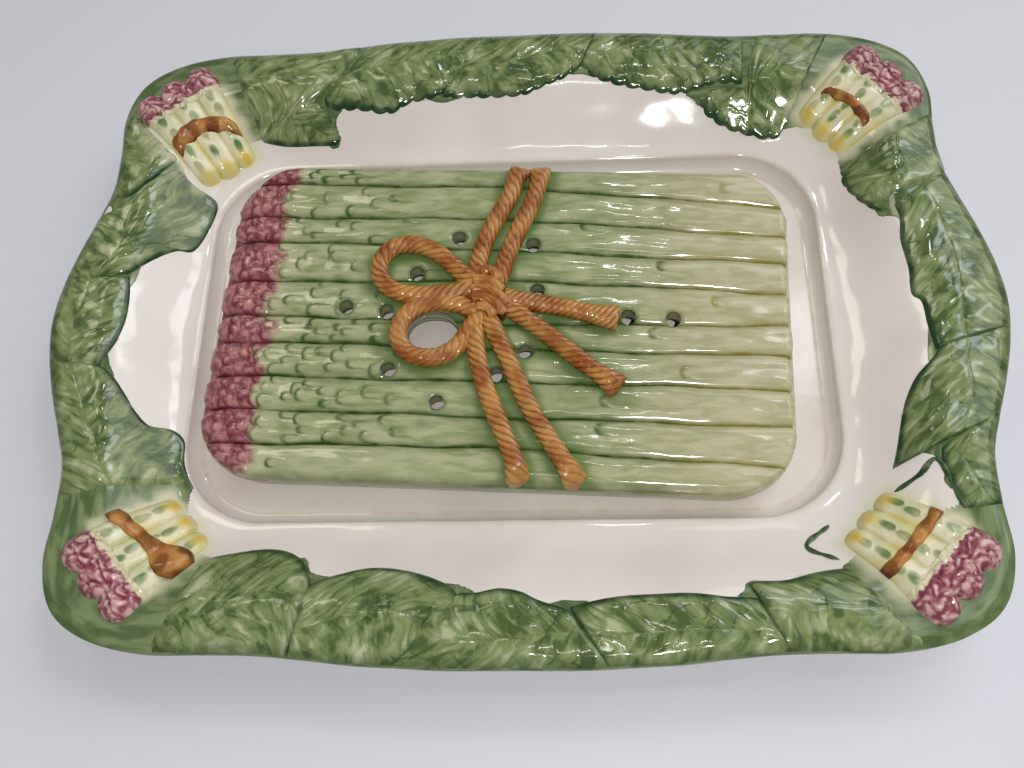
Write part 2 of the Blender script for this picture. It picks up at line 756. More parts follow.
# The platter
@dataclass(frozen=True)
class PlatterForm:
    """Sizes of the platter and the formulas of its rim, well and slope, as in the CAD source."""

    half_l: float = 200.0
    half_w: float = 146.5
    rim_h: float = 34.0
    wall_t: float = 5.0
    floor_z: float = 10.0
    base_z: float = 4.0
    shoulder_z: float = 16.5
    well_l: float = 260.0
    well_w: float = 160.0
    corner_r: float = 30.0
    step_w: float = 6.0
    shift: float = 4.0
    early_share: float = 0.84
    early_end: float = 0.66
    lip_start: float = 0.93
    lip_drop: float = 0.3
    knots: Places = (
        (1, 0), (0.99, 0.12), (0.967, 0.24), (0.94, 0.35), (0.918, 0.455), (0.916, 0.59), (0.92, 0.725),
        (0.887, 0.85), (0.813, 0.922), (0.706, 0.957), (0.592, 0.96), (0.496, 0.962), (0.415, 0.971),
        (0.335, 0.983), (0.193, 0.996), (0, 1),
    )

    def rim_r(self, a: Array) -> Array:
        """Radius of the rim at angles in degrees: a cubic blend between the knots, mirrored four ways.

        Args:
            a: Directions in degrees.

        Returns:
            The radii.
        """
        k = np.array(self.knots) * (self.half_l, self.half_w)
        angle, radius = np.degrees(np.arctan2(k[:, 1], k[:, 0])), np.hypot(k[:, 0], k[:, 1])
        slope = np.zeros(len(k))
        slope[1:-1] = (radius[2:] - radius[:-2]) / (angle[2:] - angle[:-2])
        r = np.radians(a)
        f = np.degrees(np.arctan2(np.abs(np.sin(r)), np.abs(np.cos(r))))
        i = np.clip(np.searchsorted(angle, f, side="right") - 1, 0, len(k) - 2)
        w = angle[i + 1] - angle[i]
        s = (f - angle[i]) / w
        return (
            (1 + 2 * s) * (1 - s) ** 2 * radius[i] + s * (1 - s) ** 2 * w * slope[i]
            + s * s * (3 - 2 * s) * radius[i + 1] + s * s * (s - 1) * w * slope[i + 1]
        )

    def well_r(self, a: Array, grow: float) -> Array:
        """Distance from the well's centre to its rounded rectangle, grown outward."""
        return rounded_reach(a, self.well_l / 2 + grow, self.well_w / 2 + grow, self.corner_r + grow)

    def well_ring(self, a: Array, grow: float, scale: float = 1.0) -> Array:
        """Places round the well's outline, grown, or shrunk towards its middle."""
        return polar(a, self.well_r(a, grow) * scale, self.shift)

    def slope_point(self, a: Array, t: Array) -> Array:
        """Place above the slope at a direction in degrees and a share from the shoulder to the rim."""
        a, t = np.broadcast_arrays(np.asarray(a, float), np.asarray(t, float))
        return polar(a, (1 - t) * self.well_r(a, self.step_w) + t * self.rim_r(a), (1 - t) * self.shift)

    def slope_share(self, x: Array, y: Array) -> Array:
        """Share at which a place lies on the slope, found in six steps.

        Args:
            x: Places along X.
            y: Places along Y.

        Returns:
            The shares.
        """
        t = np.full(np.shape(x), 0.5)
        for _ in range(6):
            dx = x + (1 - t) * self.shift
            a = np.degrees(np.arctan2(y, dx))
            inner = self.well_r(a, self.step_w)
            t = np.clip((np.hypot(dx, y) - inner) / (self.rim_r(a) - inner), 0.0, 1.05)
        return t

    def slope_z(self, t: Array | float) -> Array:
        """Height of the slope: a soft rise that ends early, and a lip that rounds off.

        Args:
            t: Shares from the shoulder to the rim.

        Returns:
            The heights.
        """
        rise = self.early_share * ease(t / self.early_end) + (1 - self.early_share) * ease(t)
        lip = self.lip_drop * self.wall_t * np.maximum(0.0, (t - self.lip_start) / (1 - self.lip_start)) ** 2
        return self.shoulder_z + (self.rim_h - self.shoulder_z) * rise - lip

    def face_z(self, x: Array, y: Array) -> Array:
        """Height of the slope under a place."""
        return self.slope_z(self.slope_share(x, y))


PLATTER = PlatterForm()


class Tip(Enum):
    """Which end of a leaf's stations carries its tip."""

    LAST = 1
    FIRST = -1


RIM = 0.99


@dataclass(frozen=True)
class Leaf:
    """One leaf of the border.

    A station is the direction and share of the leaf's inner edge, then of its outer edge, whose share is
    the rim's where it isn't given.
    """

    node: str
    stations: tuple[tuple[float, ...], ...]
    tuck: tuple[float, float, float] | None = None
    tip: Tip = Tip.LAST
    notches: float = 0.0
    notch_gap: float = 6.3
    rib: float = 0.55
    vein_slope: float = 0.9
    vein_gap: float = 9.0
    lift: float = 0.7
    crown: float = 0.9
    grain: float = 0.6
    shade_tip: float = 0.75
    inner_round: float = 1.7
    tip_round: float = 1.5
    vein_relief: float = 0.13
    rib_relief: float = 0.2
    sunk: float = 0.35
    thick: float = 1.2
    rim_fade: float = 5.0
    spine_half: float = 0.7
    form: PlatterForm = PLATTER

    def plan(self) -> tuple[Array, Array, Array]:
        """Grid of places between the leaf's inner and outer edges, along smooth curves.

        Where the leaf tucks in, its first row moves back to the last row of the leaf before it.

        Returns:
            The grid of rows by columns by two, the shares along and the shares across.
        """
        stations = ((self.tuck,) if self.tuck else ()) + self.stations
        rows = np.array([(*station, RIM)[:4] for station in stations])
        inner = self.form.slope_point(rows[:, 0], rows[:, 1])
        outer = self.form.slope_point(rows[:, 2], rows[:, 3])
        both = np.hstack([inner, outer])
        length = max(np.linalg.norm(np.diff(part, axis=0), axis=1).sum() for part in (inner, outer))
        width = np.linalg.norm(outer - inner, axis=1).max()
        n, m = int(length / self.grain) + 8, int(width / self.grain) + 8
        s = np.linspace(0.0, 1.0, n)
        knots = np.linspace(0.0, 1.0, len(rows))
        fine = curve_through(np.hstack([both, knots[:, None]]), 8 * n)
        ends = np.stack([np.interp(s, fine[:, 4], fine[:, i]) for i in range(4)], axis=1)
        out = ends[:, 2:] - ends[:, :2]
        reach = np.linalg.norm(out, axis=1, keepdims=True)
        if self.notches:
            steps = np.linalg.norm(np.diff(ends[:, :2], axis=0), axis=1)
            run = np.concatenate([[0.0], np.cumsum(steps)])
            saw = np.abs(np.sin(math.pi * run / self.notch_gap + 0.5 * np.sin(run / 9.0))) ** 0.7
            ends[:, :2] += out / reach * (self.notches * (0.6 - saw))[:, None]
            out = ends[:, 2:] - ends[:, :2]
        v = np.linspace(0.0, 1.0, m)
        return ends[:, None, :2] + out[:, None, :] * v[None, :, None], s, v

    def outline(self) -> Array:
        """Closed outline of the leaf, a few millimetres between points."""
        grid = self.plan()[0][::4, ::4]
        return np.vstack([grid[0], grid[1:, -1], grid[-1, -2::-1], grid[-2:0:-1, 0]])

    def mesh(self) -> Mesh:
        """The leaf's body.

        The height over the slope is a plateau that rounds off at the inner edge and the tip and runs out
        softly at the other end, plus a crown between them, less a midrib groove and a row of side veins
        that are folds of the distance along the leaf less a share of the distance from the midrib.

        Returns:
            The mesh with its paint values.
        """
        grid, s, v = self.plan()
        x, y = grid[..., 0], grid[..., 1]
        along = np.linalg.norm(np.diff(grid, axis=0, prepend=grid[:1]), axis=2).cumsum(axis=0)
        across = np.linalg.norm(np.diff(grid, axis=1, prepend=grid[:, :1]), axis=2).cumsum(axis=1)
        width = across[:, -1:]
        ahead, behind = along[-1:] - along, along
        if self.tip is Tip.FIRST:
            ahead, behind = behind, ahead
        seed = float(len(self.node)) + float(np.abs(grid[0, 0]).sum()) * 0.13
        sway = 0.1 * np.sin(math.pi * s + seed) + 0.05 * np.sin(7.0 * s + 2 * seed)
        rib = width * (self.rib + sway)[:, None]
        off = across - rib
        mid = along[:, along.shape[1] // 2][:, None]
        run = mid if self.tip is Tip.LAST else mid[-1] - mid
        veins = run - self.vein_slope * np.abs(off) + 1.6 * ripple(x, y, 28.0, seed)
        phase = np.abs(np.sin(math.pi * veins / self.vein_gap))
        from_rim = width - across
        hold = quarter(across / self.inner_round) * quarter(ahead / self.tip_round) * ease(behind / 5.0)
        ridge = np.sin(math.pi * np.clip(v, 0, 1))[None, :] ** 0.7
        waves = 0.32 * ripple(x, y, 24.0, seed) + 0.06 * ripple(x, y, 8.5, seed + 4)
        to_rim = 0.25 + 0.75 * ease(from_rim / self.rim_fade)
        relief = (self.lift + self.crown * ridge + waves) * to_rim
        fade = ease(np.abs(off) / 3.0) * ease(across / 3.0) * ease((from_rim - 2.0) / 7.0)
        spine = bell(off, self.spine_half) * ease(behind / 8.0) * ease((width - 12.0) / 8.0)
        spine = spine * (0.6 + 0.4 * ripple(x, y, 30.0, seed + 3))
        folds = (phase ** 0.7 - 0.6) * fade * (1 + 0.6 * ripple(x, y, 33.0, seed + 2))
        relief = relief + self.vein_relief * folds - self.rib_relief * spine
        z = self.form.face_z(x, y)
        top = np.stack([x, y, z - self.sunk + (relief + self.sunk) * hold], axis=-1)
        bottom = np.stack([x, y, z - self.thick], axis=-1)
        inner = 1.0 - ease((across - 1.0) / (2.6 + 0.8 * np.sin(along / 9.0)))
        outer = 1 - ease(from_rim / (5.0 + 2.0 * ripple(x, y, 26.0, seed)))
        tips = self.shade_tip * (1 - ease((ahead - 0.4) / 2.0)) + 0.3 * (1 - ease(behind / 4.0))
        values = {
            "along": np.abs(off) + self.vein_slope * run,
            "across": veins * 0.75 + 40.0 * np.sign(off) + seed * 7,
            "pale": bundle_halo(x, y, 5.0),
            "vein": np.clip(bell(phase, 0.13) * fade * 0.8 + 0.6 * spine, 0, 1),
            "edge": np.clip(inner + tips + 0.5 * outer, 0, 1),
        }
        return Mesh.shell(top, bottom, {k: np.broadcast_to(a, x.shape) for k, a in values.items()})


LEAVES: tuple[Leaf, ...] = (
    Leaf("leaf_right_1", (
        (26.6, 0.297, 27.2), (25.9, 0.273, 23.2), (25.1, 0.256, 18.5), (24.2, 0.253, 17.7, 0.712),
        (22.9, 0.258, 17.8, 0.54), (20.2, 0.313, 17, 0.512), (17.7, 0.382, 16.3, 0.492),
        (15.8, 0.446, 15.6, 0.475)), notches=1.2),
    Leaf("leaf_right_2", (
        (16.1, 0.54, 17.5), (13.9, 0.536, 15), (9.9, 0.484, 11.6), (5.7, 0.478, 8), (1.8, 0.458, 4.2),
        (0.2, 0.502, 1.6), (-3.1, 0.52, -1), (-7.4, 0.563, -4)), tuck=(16.2, 0.6, 19.5)),
    Leaf("leaf_right_3", (
        (-8.2, 0.555, -4.8), (-10.9, 0.468, -7.8), (-13.7, 0.417, -10.8), (-17.3, 0.38, -13.4),
        (-21.5, 0.349, -14.6), (-24.9, 0.319, -15.4)), tuck=(-5.5, 0.6, -2.6)),
    Leaf("leaf_right_4", (
        (-21.8, 0.613, -16.2), (-23.2, 0.618, -19.2), (-25.8, 0.672, -22.4), (-27.4, 0.737, -25.4)),
        tuck=(-20.4, 0.62, -13.6)),
    Leaf("leaf_near_1", (
        (-40.6, 0.45, -42.8), (-44, 0.456, -45.4), (-48.1, 0.505, -48.6), (-51.9, 0.517, -51.6),
        (-52.7, 0.581, -55))),
    Leaf("leaf_near_2", (
        (-53.4, 0.632, -56), (-56.3, 0.618, -59), (-60.3, 0.577, -63.8), (-64.9, 0.566, -68),
        (-70.8, 0.566, -71.6), (-76.3, 0.591, -74.6), (-80.1, 0.627, -77)), tuck=(-52.6, 0.66, -53.6)),
    Leaf("leaf_near_3", (
        (-81.3, 0.622, -78.4), (-84.9, 0.576, -83), (-88.1, 0.516, -87.8), (-92, 0.494, -93.2),
        (-95.9, 0.521, -99.2), (-98.7, 0.526, -104.6), (-100.3, 0.559, -109)), tuck=(-79.3, 0.66, -75.6)),
    Leaf("leaf_near_4", (
        (-100, 0.503, -110), (-104.6, 0.424, -112.8), (-110.5, 0.37, -114.8), (-116.6, 0.361, -116.8),
        (-120.8, 0.424, -118.6), (-122.8, 0.473, -120.2), (-124.2, 0.557, -121.4)),
        tip=Tip.FIRST, tuck=(-98.9, 0.6, -106.6)),
    Leaf("leaf_near_5", (
        (-127.6, 0.327, -122.4), (-131.6, 0.233, -125.2), (-135.1, 0.215, -128), (-137.8, 0.263, -131),
        (-139.7, 0.329, -134.6)), tip=Tip.FIRST, tuck=(-123.6, 0.5, -120.4)),
    Leaf("leaf_left_1", (
        (-152.3, 0.01, -156), (-154.9, 0.01, -157.8), (-156.7, 0.01, -159.8), (-159.8, 0.01, -161.6),
        (-162.2, 0.122, -163.2), (-163.2, 0.291, -165), (-165.5, 0.388, -167.2), (-168.4, 0.458, -169.4),
        (-171.4, 0.539, -172), (-172.8, 0.61, -174.6))),
    Leaf("leaf_left_2", (
        (-173.6, 0.603, -175.3), (-176.6, 0.518, -177.8), (-180.2, 0.476, -180), (-184.3, 0.486, -183),
        (-187.4, 0.53, -186)), tuck=(-171.5, 0.64, -173.2)),
    Leaf("leaf_left_3", (
        (171.8, 0.527, 173.3), (168.6, 0.412, 171.6), (165.5, 0.28, 169.6), (164.2, 0.163, 167.2),
        (160.2, 0.086, 165.8), (153.9, 0.083, 164.8), (153.4, 0.306, 164.1, 0.914),
        (152.8, 0.445, 159, 0.707)), tuck=(172.8, 0.6, 175.0)),
    Leaf("leaf_left_4", (
        (161.3, 0.831, 162.2), (158, 0.669, 160.8), (154.7, 0.548, 159.2), (151.6, 0.471, 157.4),
        (151.2, 0.554, 155.8), (150.7, 0.634, 154.2), (149.8, 0.814, 151.2), (149.2, 0.846, 149.9))),
    Leaf("leaf_far_1", (
        (140.1, 0.299, 135), (140.3, 0.279, 129.4), (140.4, 0.265, 123.5), (140.3, 0.255, 117.8),
        (140.3, 0.249, 123.6, 0.704), (140.2, 0.243, 129.3, 0.515), (139.2, 0.217, 129, 0.479),
        (137.1, 0.193, 128.7, 0.425), (134.1, 0.185, 128.9, 0.334), (130.8, 0.185, 129.1, 0.23))),
    Leaf("leaf_far_2", (
        (128, 0.525, 116.8), (127.7, 0.445, 115), (123.1, 0.427, 112.2), (117.9, 0.395, 108.2),
        (113.3, 0.446, 104.6), (107.5, 0.477, 100.6), (103.1, 0.572, 98.6), (99.3, 0.692, 96)), notches=1.3),
    Leaf("leaf_far_3", (
        (105.6, 0.473, 91.4), (100, 0.455, 90), (93, 0.455, 86.4), (87.5, 0.465, 83), (83.2, 0.515, 79.5),
        (79.3, 0.57, 77.2), (76.2, 0.655, 75.6)), notches=1.3, tuck=(105.9, 0.52, 97.4)),
    Leaf("leaf_far_4", (
        (75.3, 0.644, 74.8), (72.6, 0.57, 71), (67.2, 0.52, 67.4), (61.2, 0.481, 64), (56.6, 0.458, 61),
        (53.7, 0.474, 58.4), (51.4, 0.529, 56), (47.5, 0.519, 53.2)), notches=1.3, tuck=(76.9, 0.7, 77.0)),
    Leaf("leaf_far_5", (
        (52.5, 0.442, 52.1, 0.464), (50.1, 0.341, 50.3, 0.491), (47.1, 0.264, 48.5, 0.489),
        (43.8, 0.203, 47.2, 0.488), (41.4, 0.173, 46.5, 0.489), (40.7, 0.165, 49, 0.678),
        (39.9, 0.157, 51.4), (38.3, 0.155, 48.8), (37.3, 0.185, 46.6), (37.9, 0.266, 44.2)), notches=1.2),
)
# Numbers of the leaves on both sides of a corner, and that of its bundle
CORNERS = {(3, 4): 3, (8, 9): 2, (12, 13): 0, (17, 0): 1}


def bundle_halo(x: Array, y: Array, size: float) -> Array:
    """Bell of the distance to the nearest bundle's stalks, with an uneven edge."""
    gap = np.min([polygon_gap(x, y, bundle.outline()) for bundle in BUNDLES], axis=0)
    return bell(gap, size * (1 + 0.35 * ripple(x, y, 9.0, 2.0)))


SLOPE_PAINT = 40.0


@dataclass
class Dish:
    """The platter's body with its painted corners, and the foot ring."""

    form: PlatterForm = PLATTER
    leaves: tuple[Leaf, ...] = LEAVES
    angles: int = 900
    halo: float = 3.6
    paint_out: float = 0.02
    cream_out: float = 0.5
    cream_after: int = 2
    foot_in: float = 2.0
    lines: tuple[Places, ...] = (
        ((146.0, -79.0), (155.0, -73.5), (162.0, -68.5), (168.5, -88.0)),
        ((121.5, -90.0), (111.5, -99.0), (122.0, -105.5)),
    )

    def paint(self, x: Array, y: Array) -> Array:
        """Green paint between neighbouring leaves and over the corners, from 0 to 1.

        The sum of a bell of the distance to every leaf passes one only between two leaves, and each
        corner's painted shape runs from the last leaf of one side over the rim to the first of the next.
        After one leaf of the right side the paint starts further out and leaves a patch of cream.

        Args:
            x: Places along X.
            y: Places along Y.

        Returns:
            The paint.
        """
        total = np.zeros(x.shape)
        for leaf in self.leaves:
            gap = polygon_gap(x, y, leaf.outline())
            total += bell(gap, 3.4)
        for i, leaf in enumerate(self.leaves):
            after = (i + 1) % len(self.leaves)
            a, b = leaf.stations[-1], self.leaves[after].stations[0]
            turn = (b[2] - a[2] + 180.0) % 360.0 - 180.0
            rim = self.form.slope_point(a[2] + turn * np.linspace(-0.1, 1.1, 24), np.full(24, 1.02))
            out = self.cream_out if i == self.cream_after else self.paint_out
            shares = [b[1] + (RIM - b[1]) * out, a[1] + (RIM - a[1]) * out]
            ends = self.form.slope_point([b[0], a[0]], shares)
            if (i, after) in CORNERS:
                bundle = BUNDLES[CORNERS[i, after]]
                start = np.array([0.2 * bundle.frame()[3]])
                middle = bundle.place(start, np.array([0.0]))
                ends = np.vstack([ends[:1], middle, ends[1:]])
            total += 1.3 * bell(polygon_gap(x, y, np.vstack([rim, ends])), 1.5)
        return ease((total - 0.8) / 0.45)

    def mesh(self) -> Mesh:
        """The body as rings round the well's and the rim's outlines.

        From the middle of the floor the rings grow as the rounded rectangle of the well, climb a hollow
        step whose height is the share to the power 2.7, follow the slope's formula to the lip, turn round
        the lip and come back under the slope to the flat base.

        Returns:
            The mesh with its paint values.
        """
        form = self.form
        a = np.linspace(0.0, 360.0, self.angles, endpoint=False)
        rings, green, pool, share, halo = [], [], [], [], []

        def add(place: Array, z: Array | float, g: Array | float, p: float, s: float) -> None:
            """Stores one ring and its paint.

            Args:
                place: Places of the ring.
                z: Its heights.
                g: Green paint.
                p: Pooled glaze.
                s: Share up the slope, in the paint's units.
            """
            rings.append(np.column_stack([place, np.broadcast_to(z, len(a))]))
            green.append(np.broadcast_to(g, len(a)))
            pool.append(np.full(len(a), p))
            share.append(np.full(len(a), s))
            on_slope = 0.0 < s < SLOPE_PAINT
            halo.append(bundle_halo(*place.T, self.halo) if on_slope else np.zeros(len(a)))

        for k in (0.04, 0.2, 0.4, 0.6, 0.78, 0.9, 0.97, 0.993):
            add(form.well_ring(a, 0.0, k), form.floor_z, 0.0, 0.25 * ease((k - 0.9) / 0.1), 0.0)
        for s in np.linspace(0.0, 1.0, 13):
            z = form.floor_z + (form.shoulder_z - form.floor_z) * s ** 2.7
            wet = 0.55 * bell(s - 0.1, 0.25) + 0.4 * bell(s - 1, 0.12)
            add(form.well_ring(a, s * form.step_w), z, 0.0, wet, 0.0)
        for t in np.linspace(0.0, 1.0, 64)[1:]:
            t = t if t < 0.9 else 0.9 + (t - 0.9) * 0.99
            p = form.slope_point(a, t)
            x, y = p[:, 0], p[:, 1]
            wave = 0.22 * ripple(x, y, 46.0, 1.3) + 0.1 * ripple(x, y, 19.0, 2.2)
            z = form.slope_z(t) + wave * ease(t / 0.15) * ease((1 - t) / 0.1)
            g = np.maximum(self.paint(x, y), ease((t - 0.95) / 0.02))
            add(p, z, g, 0.5 * bell(t, 0.025), t * SLOPE_PAINT)
        top = float(form.slope_z(0.999))
        for turn in np.linspace(0.0, math.pi, 11)[1:]:
            r = form.wall_t * 0.5
            p = form.slope_point(a, 1.0)
            out = p / np.linalg.norm(p, axis=1, keepdims=True) * (math.sin(turn) * 1.1 - 1.12)
            add(p + out, top - r * (1 - math.cos(turn)), 1.0 if turn < 2.3 else 0.6, 0.0, SLOPE_PAINT + 1.0)
        for t in (0.95, 0.86, 0.75, 0.64, 0.52, 0.4, 0.3, 0.2, 0.1, 0.04):
            z = form.slope_z(t) - form.wall_t
            add(form.slope_point(a, t), z, 0.0 if t < 0.93 else 0.3, 0.0, 0.0)
        add(form.well_ring(a, 3.0), form.base_z + 1.6, 0.0, 0.2, 0.0)
        add(form.well_ring(a, 0.0), form.base_z, 0.0, 0.3, 0.0)
        for k in (0.97, 0.7, 0.3, 0.05):
            add(form.well_ring(a, -0.5, k), form.base_z, 0.0, 0.0, 0.0)
        around = np.broadcast_to(a * 3.4, (len(rings), len(a)))
        paint = {"green": green, "pool": pool, "share": share, "round": around, "halo": halo}
        return Mesh.rings(np.array(rings), {key: np.array(value) for key, value in paint.items()})

    def ridges(self) -> Mesh:
        """Low ridges round the cream leaves of the near right corner: half rounds along their lines.

        Returns:
            The mesh.
        """
        made: list[Mesh] = []
        count = 90
        turn = np.linspace(0.0, 2 * math.pi, 16, endpoint=False)[None, :]
        for line in self.lines:
            mid = curve_through(np.array(line), count)
            way = headings(mid)
            s = np.linspace(0.0, 1.0, count)[:, None]
            size = np.sqrt(np.clip(1 - np.abs(2 * s - 1) ** 5, 0.02, 1)) * (1 + 0.2 * np.sin(s * 23.0))
            x = mid[:, :1] + way[:, 1:] * np.cos(turn) * size
            y = mid[:, 1:] - way[:, :1] * np.cos(turn) * size
            z = self.form.face_z(x, y) + 0.5 * size * np.sin(turn) + 0.15
            paint = {"edge": np.broadcast_to(0.95, x.shape), "along": s * 60 + 0 * x}
            made.append(Mesh.rings(np.stack([x, y, z], axis=-1), paint))
        return Mesh.together(made)

    def foot(self) -> Mesh:
        """The foot ring: a rounded section carried round the well's outline, a little inside it.

        Returns:
            The mesh.
        """
        around = 360
        a = np.linspace(0.0, 360.0, around, endpoint=False)
        section = (
            (0.0, 4.2), (0.1, 1.4), (0.9, 0.35), (2.2, 0.0), (5.2, 0.0), (6.3, 0.4), (6.9, 1.5), (7.0, 4.2),
        )
        rings = []
        for inward, z in section:
            lift = 0.12 * np.sin(np.radians(a) * 5.0) if z == 0.35 else 0.0
            ring = self.form.well_ring(a, -self.foot_in - inward)
            rings.append(np.column_stack([ring, np.full(around, z) + lift]))
        count = len(section)
        quads = Mesh.grid_faces(count, around, True)
        j = np.arange(around)
        k = (j + 1) % around
        last = (count - 1) * around
        lid = np.stack([last + j, last + k, k, j], axis=1)
        return Mesh(np.array(rings).reshape(-1, 3), [quads, lid]).outward()


@dataclass(frozen=True)
class Bundle:
    """One corner bundle: three stalks with scales, their tips and the tie."""

    key: str
    ends: tuple[tuple[float, float], tuple[float, float]]
    tie: tuple[float, float]
    tie_width: float = 6.0
    width: float = 28.0
    spread: float = 9.0
    bud: float = 19.0
    stalk_h: float = 3.7
    bud_h: float = 1.3
    tie_h: float = 2.0
    tie_sunk: float = 0.2
    sunk: float = 0.4
    thick: float = 1.4
    arch: float = 0.12
    blob: float = 0.0
    reach: float = 0.5
    cut_round: float = 4.2
    scale_half: float = 2.9
    scale_rise: float = 0.45
    bead_gap: float = 3.7
    form: PlatterForm = PLATTER

    def frame(self) -> tuple[Array, Array, Array, float]:
        """Start, direction, sideways direction and length of the stalks.

        Returns:
            The start, the two directions and the length.
        """
        a = self.form.slope_point(*self.ends[0])
        b = self.form.slope_point(*self.ends[1])
        length = float(np.linalg.norm(b - a))
        way = (b - a) / length
        return a, way, np.array([-way[1], way[0]]), length

    def place(self, along: Array, side: Array) -> Array:
        """Place at a distance along the stalks and a share from -0.5 to 0.5 across them.

        Args:
            along: Distances along the stalks.
            side: Shares across, from -0.5 to 0.5.

        Returns:
            The places.
        """
        a, way, left, length = self.frame()
        w = self.width + self.spread * along / length
        return a + along[..., None] * way + (w * side)[..., None] * left

    def outline(self) -> Array:
        """Four corners of the stalks' plan.

        Returns:
            The corners.
        """
        length = self.frame()[3]
        along, side = np.array([0.06, 0.06, 1.0, 1.0]), np.array([-0.5, 0.5, 0.5, -0.5])
        return self.place(along * length, side)

    @staticmethod
    def round(side: Array) -> Array:
        """Height of three half-round stalks across the bundle, as a share.

        Args:
            side: Shares across, from -0.5 to 0.5.

        Returns:
            The height.
        """
        s = (side + 0.5) * 3.0
        c = 2.0 * (s - np.clip(np.floor(s), 0, 2)) - 1.0
        return np.sqrt(np.maximum(0.0, 1.0 - 0.6 * np.abs(c) ** 2.4))

    def edge(self, side: Array) -> Array:
        """Share that drops to zero at both sides of the bundle."""
        return np.sqrt(np.clip(1 - (np.abs(side) / 0.5) ** 8, 0, 1))

    def stalks(self) -> Mesh:
        """The three stalks: half rounds along the bundle with rounded cut ends and oval scales in relief.

        Returns:
            The mesh with its paint values.
        """
        length = self.frame()[3]
        s, side = grid_of(np.linspace(0.0, 1.0, int(length / 0.5)), np.linspace(-0.5, 0.5, 90))
        along = s * length
        p = self.place(along, side)
        x, y = p[..., 0], p[..., 1]
        body = self.round(side)
        lane = np.clip(np.floor((side + 0.5) * 3.0), 0, 2)
        middle = (lane + 0.5) / 3.0 - 0.5
        off = np.abs(side - middle) * 6.0
        cut = quarter((along - 0.6 * np.abs(lane - 1) - 1.8 * off ** 3) / self.cut_round)
        scale = np.zeros(x.shape)
        for k in range(3):
            for i in range(4):
                at = length * (0.26 + 0.23 * i + (0.09 if k == 1 else 0.02 * math.sin(i + 2.0 * k)))
                du = (along - at) / self.scale_half
                dv = (side - ((k + 0.5) / 3.0 - 0.5) - 0.022 * math.sin(i * 2.1 + k)) * (self.width + 4) / 1.6
                oval = np.clip(1.25 - np.hypot(du * (1 + 0.25 * np.sign(du)), dv), 0, 1)
                scale = np.maximum(scale, np.where(lane == k, oval, 0))
        z = self.form.face_z(x, y)
        edge = self.edge(side)
        lift = self.stalk_h * body * cut * edge + self.scale_rise * ease(scale * 2.5) * cut
        lift = lift + 0.12 * ripple(x, y, 9.0, 3.0) * cut
        lift = (lift + 0.5) * np.maximum(cut, 0.02) * np.maximum(edge, 0.02)
        ends = np.exp(-(((along - 3.0) / 3.2) ** 2 + (off / 0.7) ** 2))
        seams = ease((off - 0.7) / 0.3) * ease((0.62 * length - along) / 8.0)
        seams = seams * ease(0.5 + ripple(x, y, 16.0, 1.0))
        by_tie = bell(along - length * self.tie[0] + 2.0, 5.0) * (0.25 + 0.5 * off ** 2)
        values = {
            "groove": ease((off - 0.72) / 0.28),
            "scale": ease(scale * 2.2),
            "ochre": ends * 1.2 + 0.8 * seams + by_tie,
        }
        return self.laid(x, y, z, z - self.sunk + lift, values)

    def laid(self, x: Array, y: Array, z: Array, top: Array, values: dict[str, Array]) -> Mesh:
        """Shell between a surface and one set into the slope under it."""
        low = np.stack([x, y, z - self.thick], axis=-1)
        return Mesh.shell(np.stack([x, y, top], axis=-1), low, values)

    def tips(self) -> Mesh:
        """The tips: the stalks go on, carry beads in staggered rows and close in three round noses.

        Returns:
            The mesh with its paint values.
        """
        length = self.frame()[3]
        a, side = grid_of(np.linspace(0.0, 1.0, 52), np.linspace(-0.5, 0.5, 96))
        reach = self.bud * (0.42 + 0.58 * self.round(side)) * (1.0 - 0.45 * side * side)
        along = length - 0.6 + a * reach
        bulge = 1.0 + 0.05 * np.sin(math.pi * a)
        p = self.place(along, side * bulge)
        x, y = p[..., 0], p[..., 1]
        lane = (side + 0.5) * 3.0
        row = (along - length) / self.bead_gap + 0.4 * ripple(x, y, 9.0, 2.0)
        col = lane * 2.9 + 0.4 * ripple(x, y, 8.0, 6.0)
        shift = 0.5 * (np.floor(row) % 2)
        du = (row % 1.0) - 0.5
        dv = ((col + shift) % 1.0) - 0.5
        bead = np.sqrt(np.clip(1.0 - 3.1 * (du * du + dv * dv), 0, 1))
        nose = np.sqrt(np.clip(1.0 - np.clip((a - 0.55) / 0.45, 0, 1) ** 2, 0, 1))
        z = self.form.face_z(x, y)
        edge = self.edge(side)
        body = self.round(side) * edge * (0.25 + 0.75 * nose)
        lift = (self.stalk_h + 0.5 * np.sin(math.pi * a)) * body
        lift = lift + self.bud_h * (bead - 0.35) * (0.3 + 0.7 * nose) * edge
        close = np.minimum(edge, np.sqrt(np.clip(1 - a ** 10, 0, 1)))
        top = z - self.sunk + (np.maximum(lift, 0.0) + self.sunk) * close
        dip = np.clip(1.0 - bead, 0, 1)
        values = {
            "groove": ease((dip - 0.35) / 0.6),
            "crest": ease((bead - 0.82) / 0.16),
            "root": 1 - ease((a * reach - 0.5) / 5.0),
        }
        return self.laid(x, y, z, top, values)

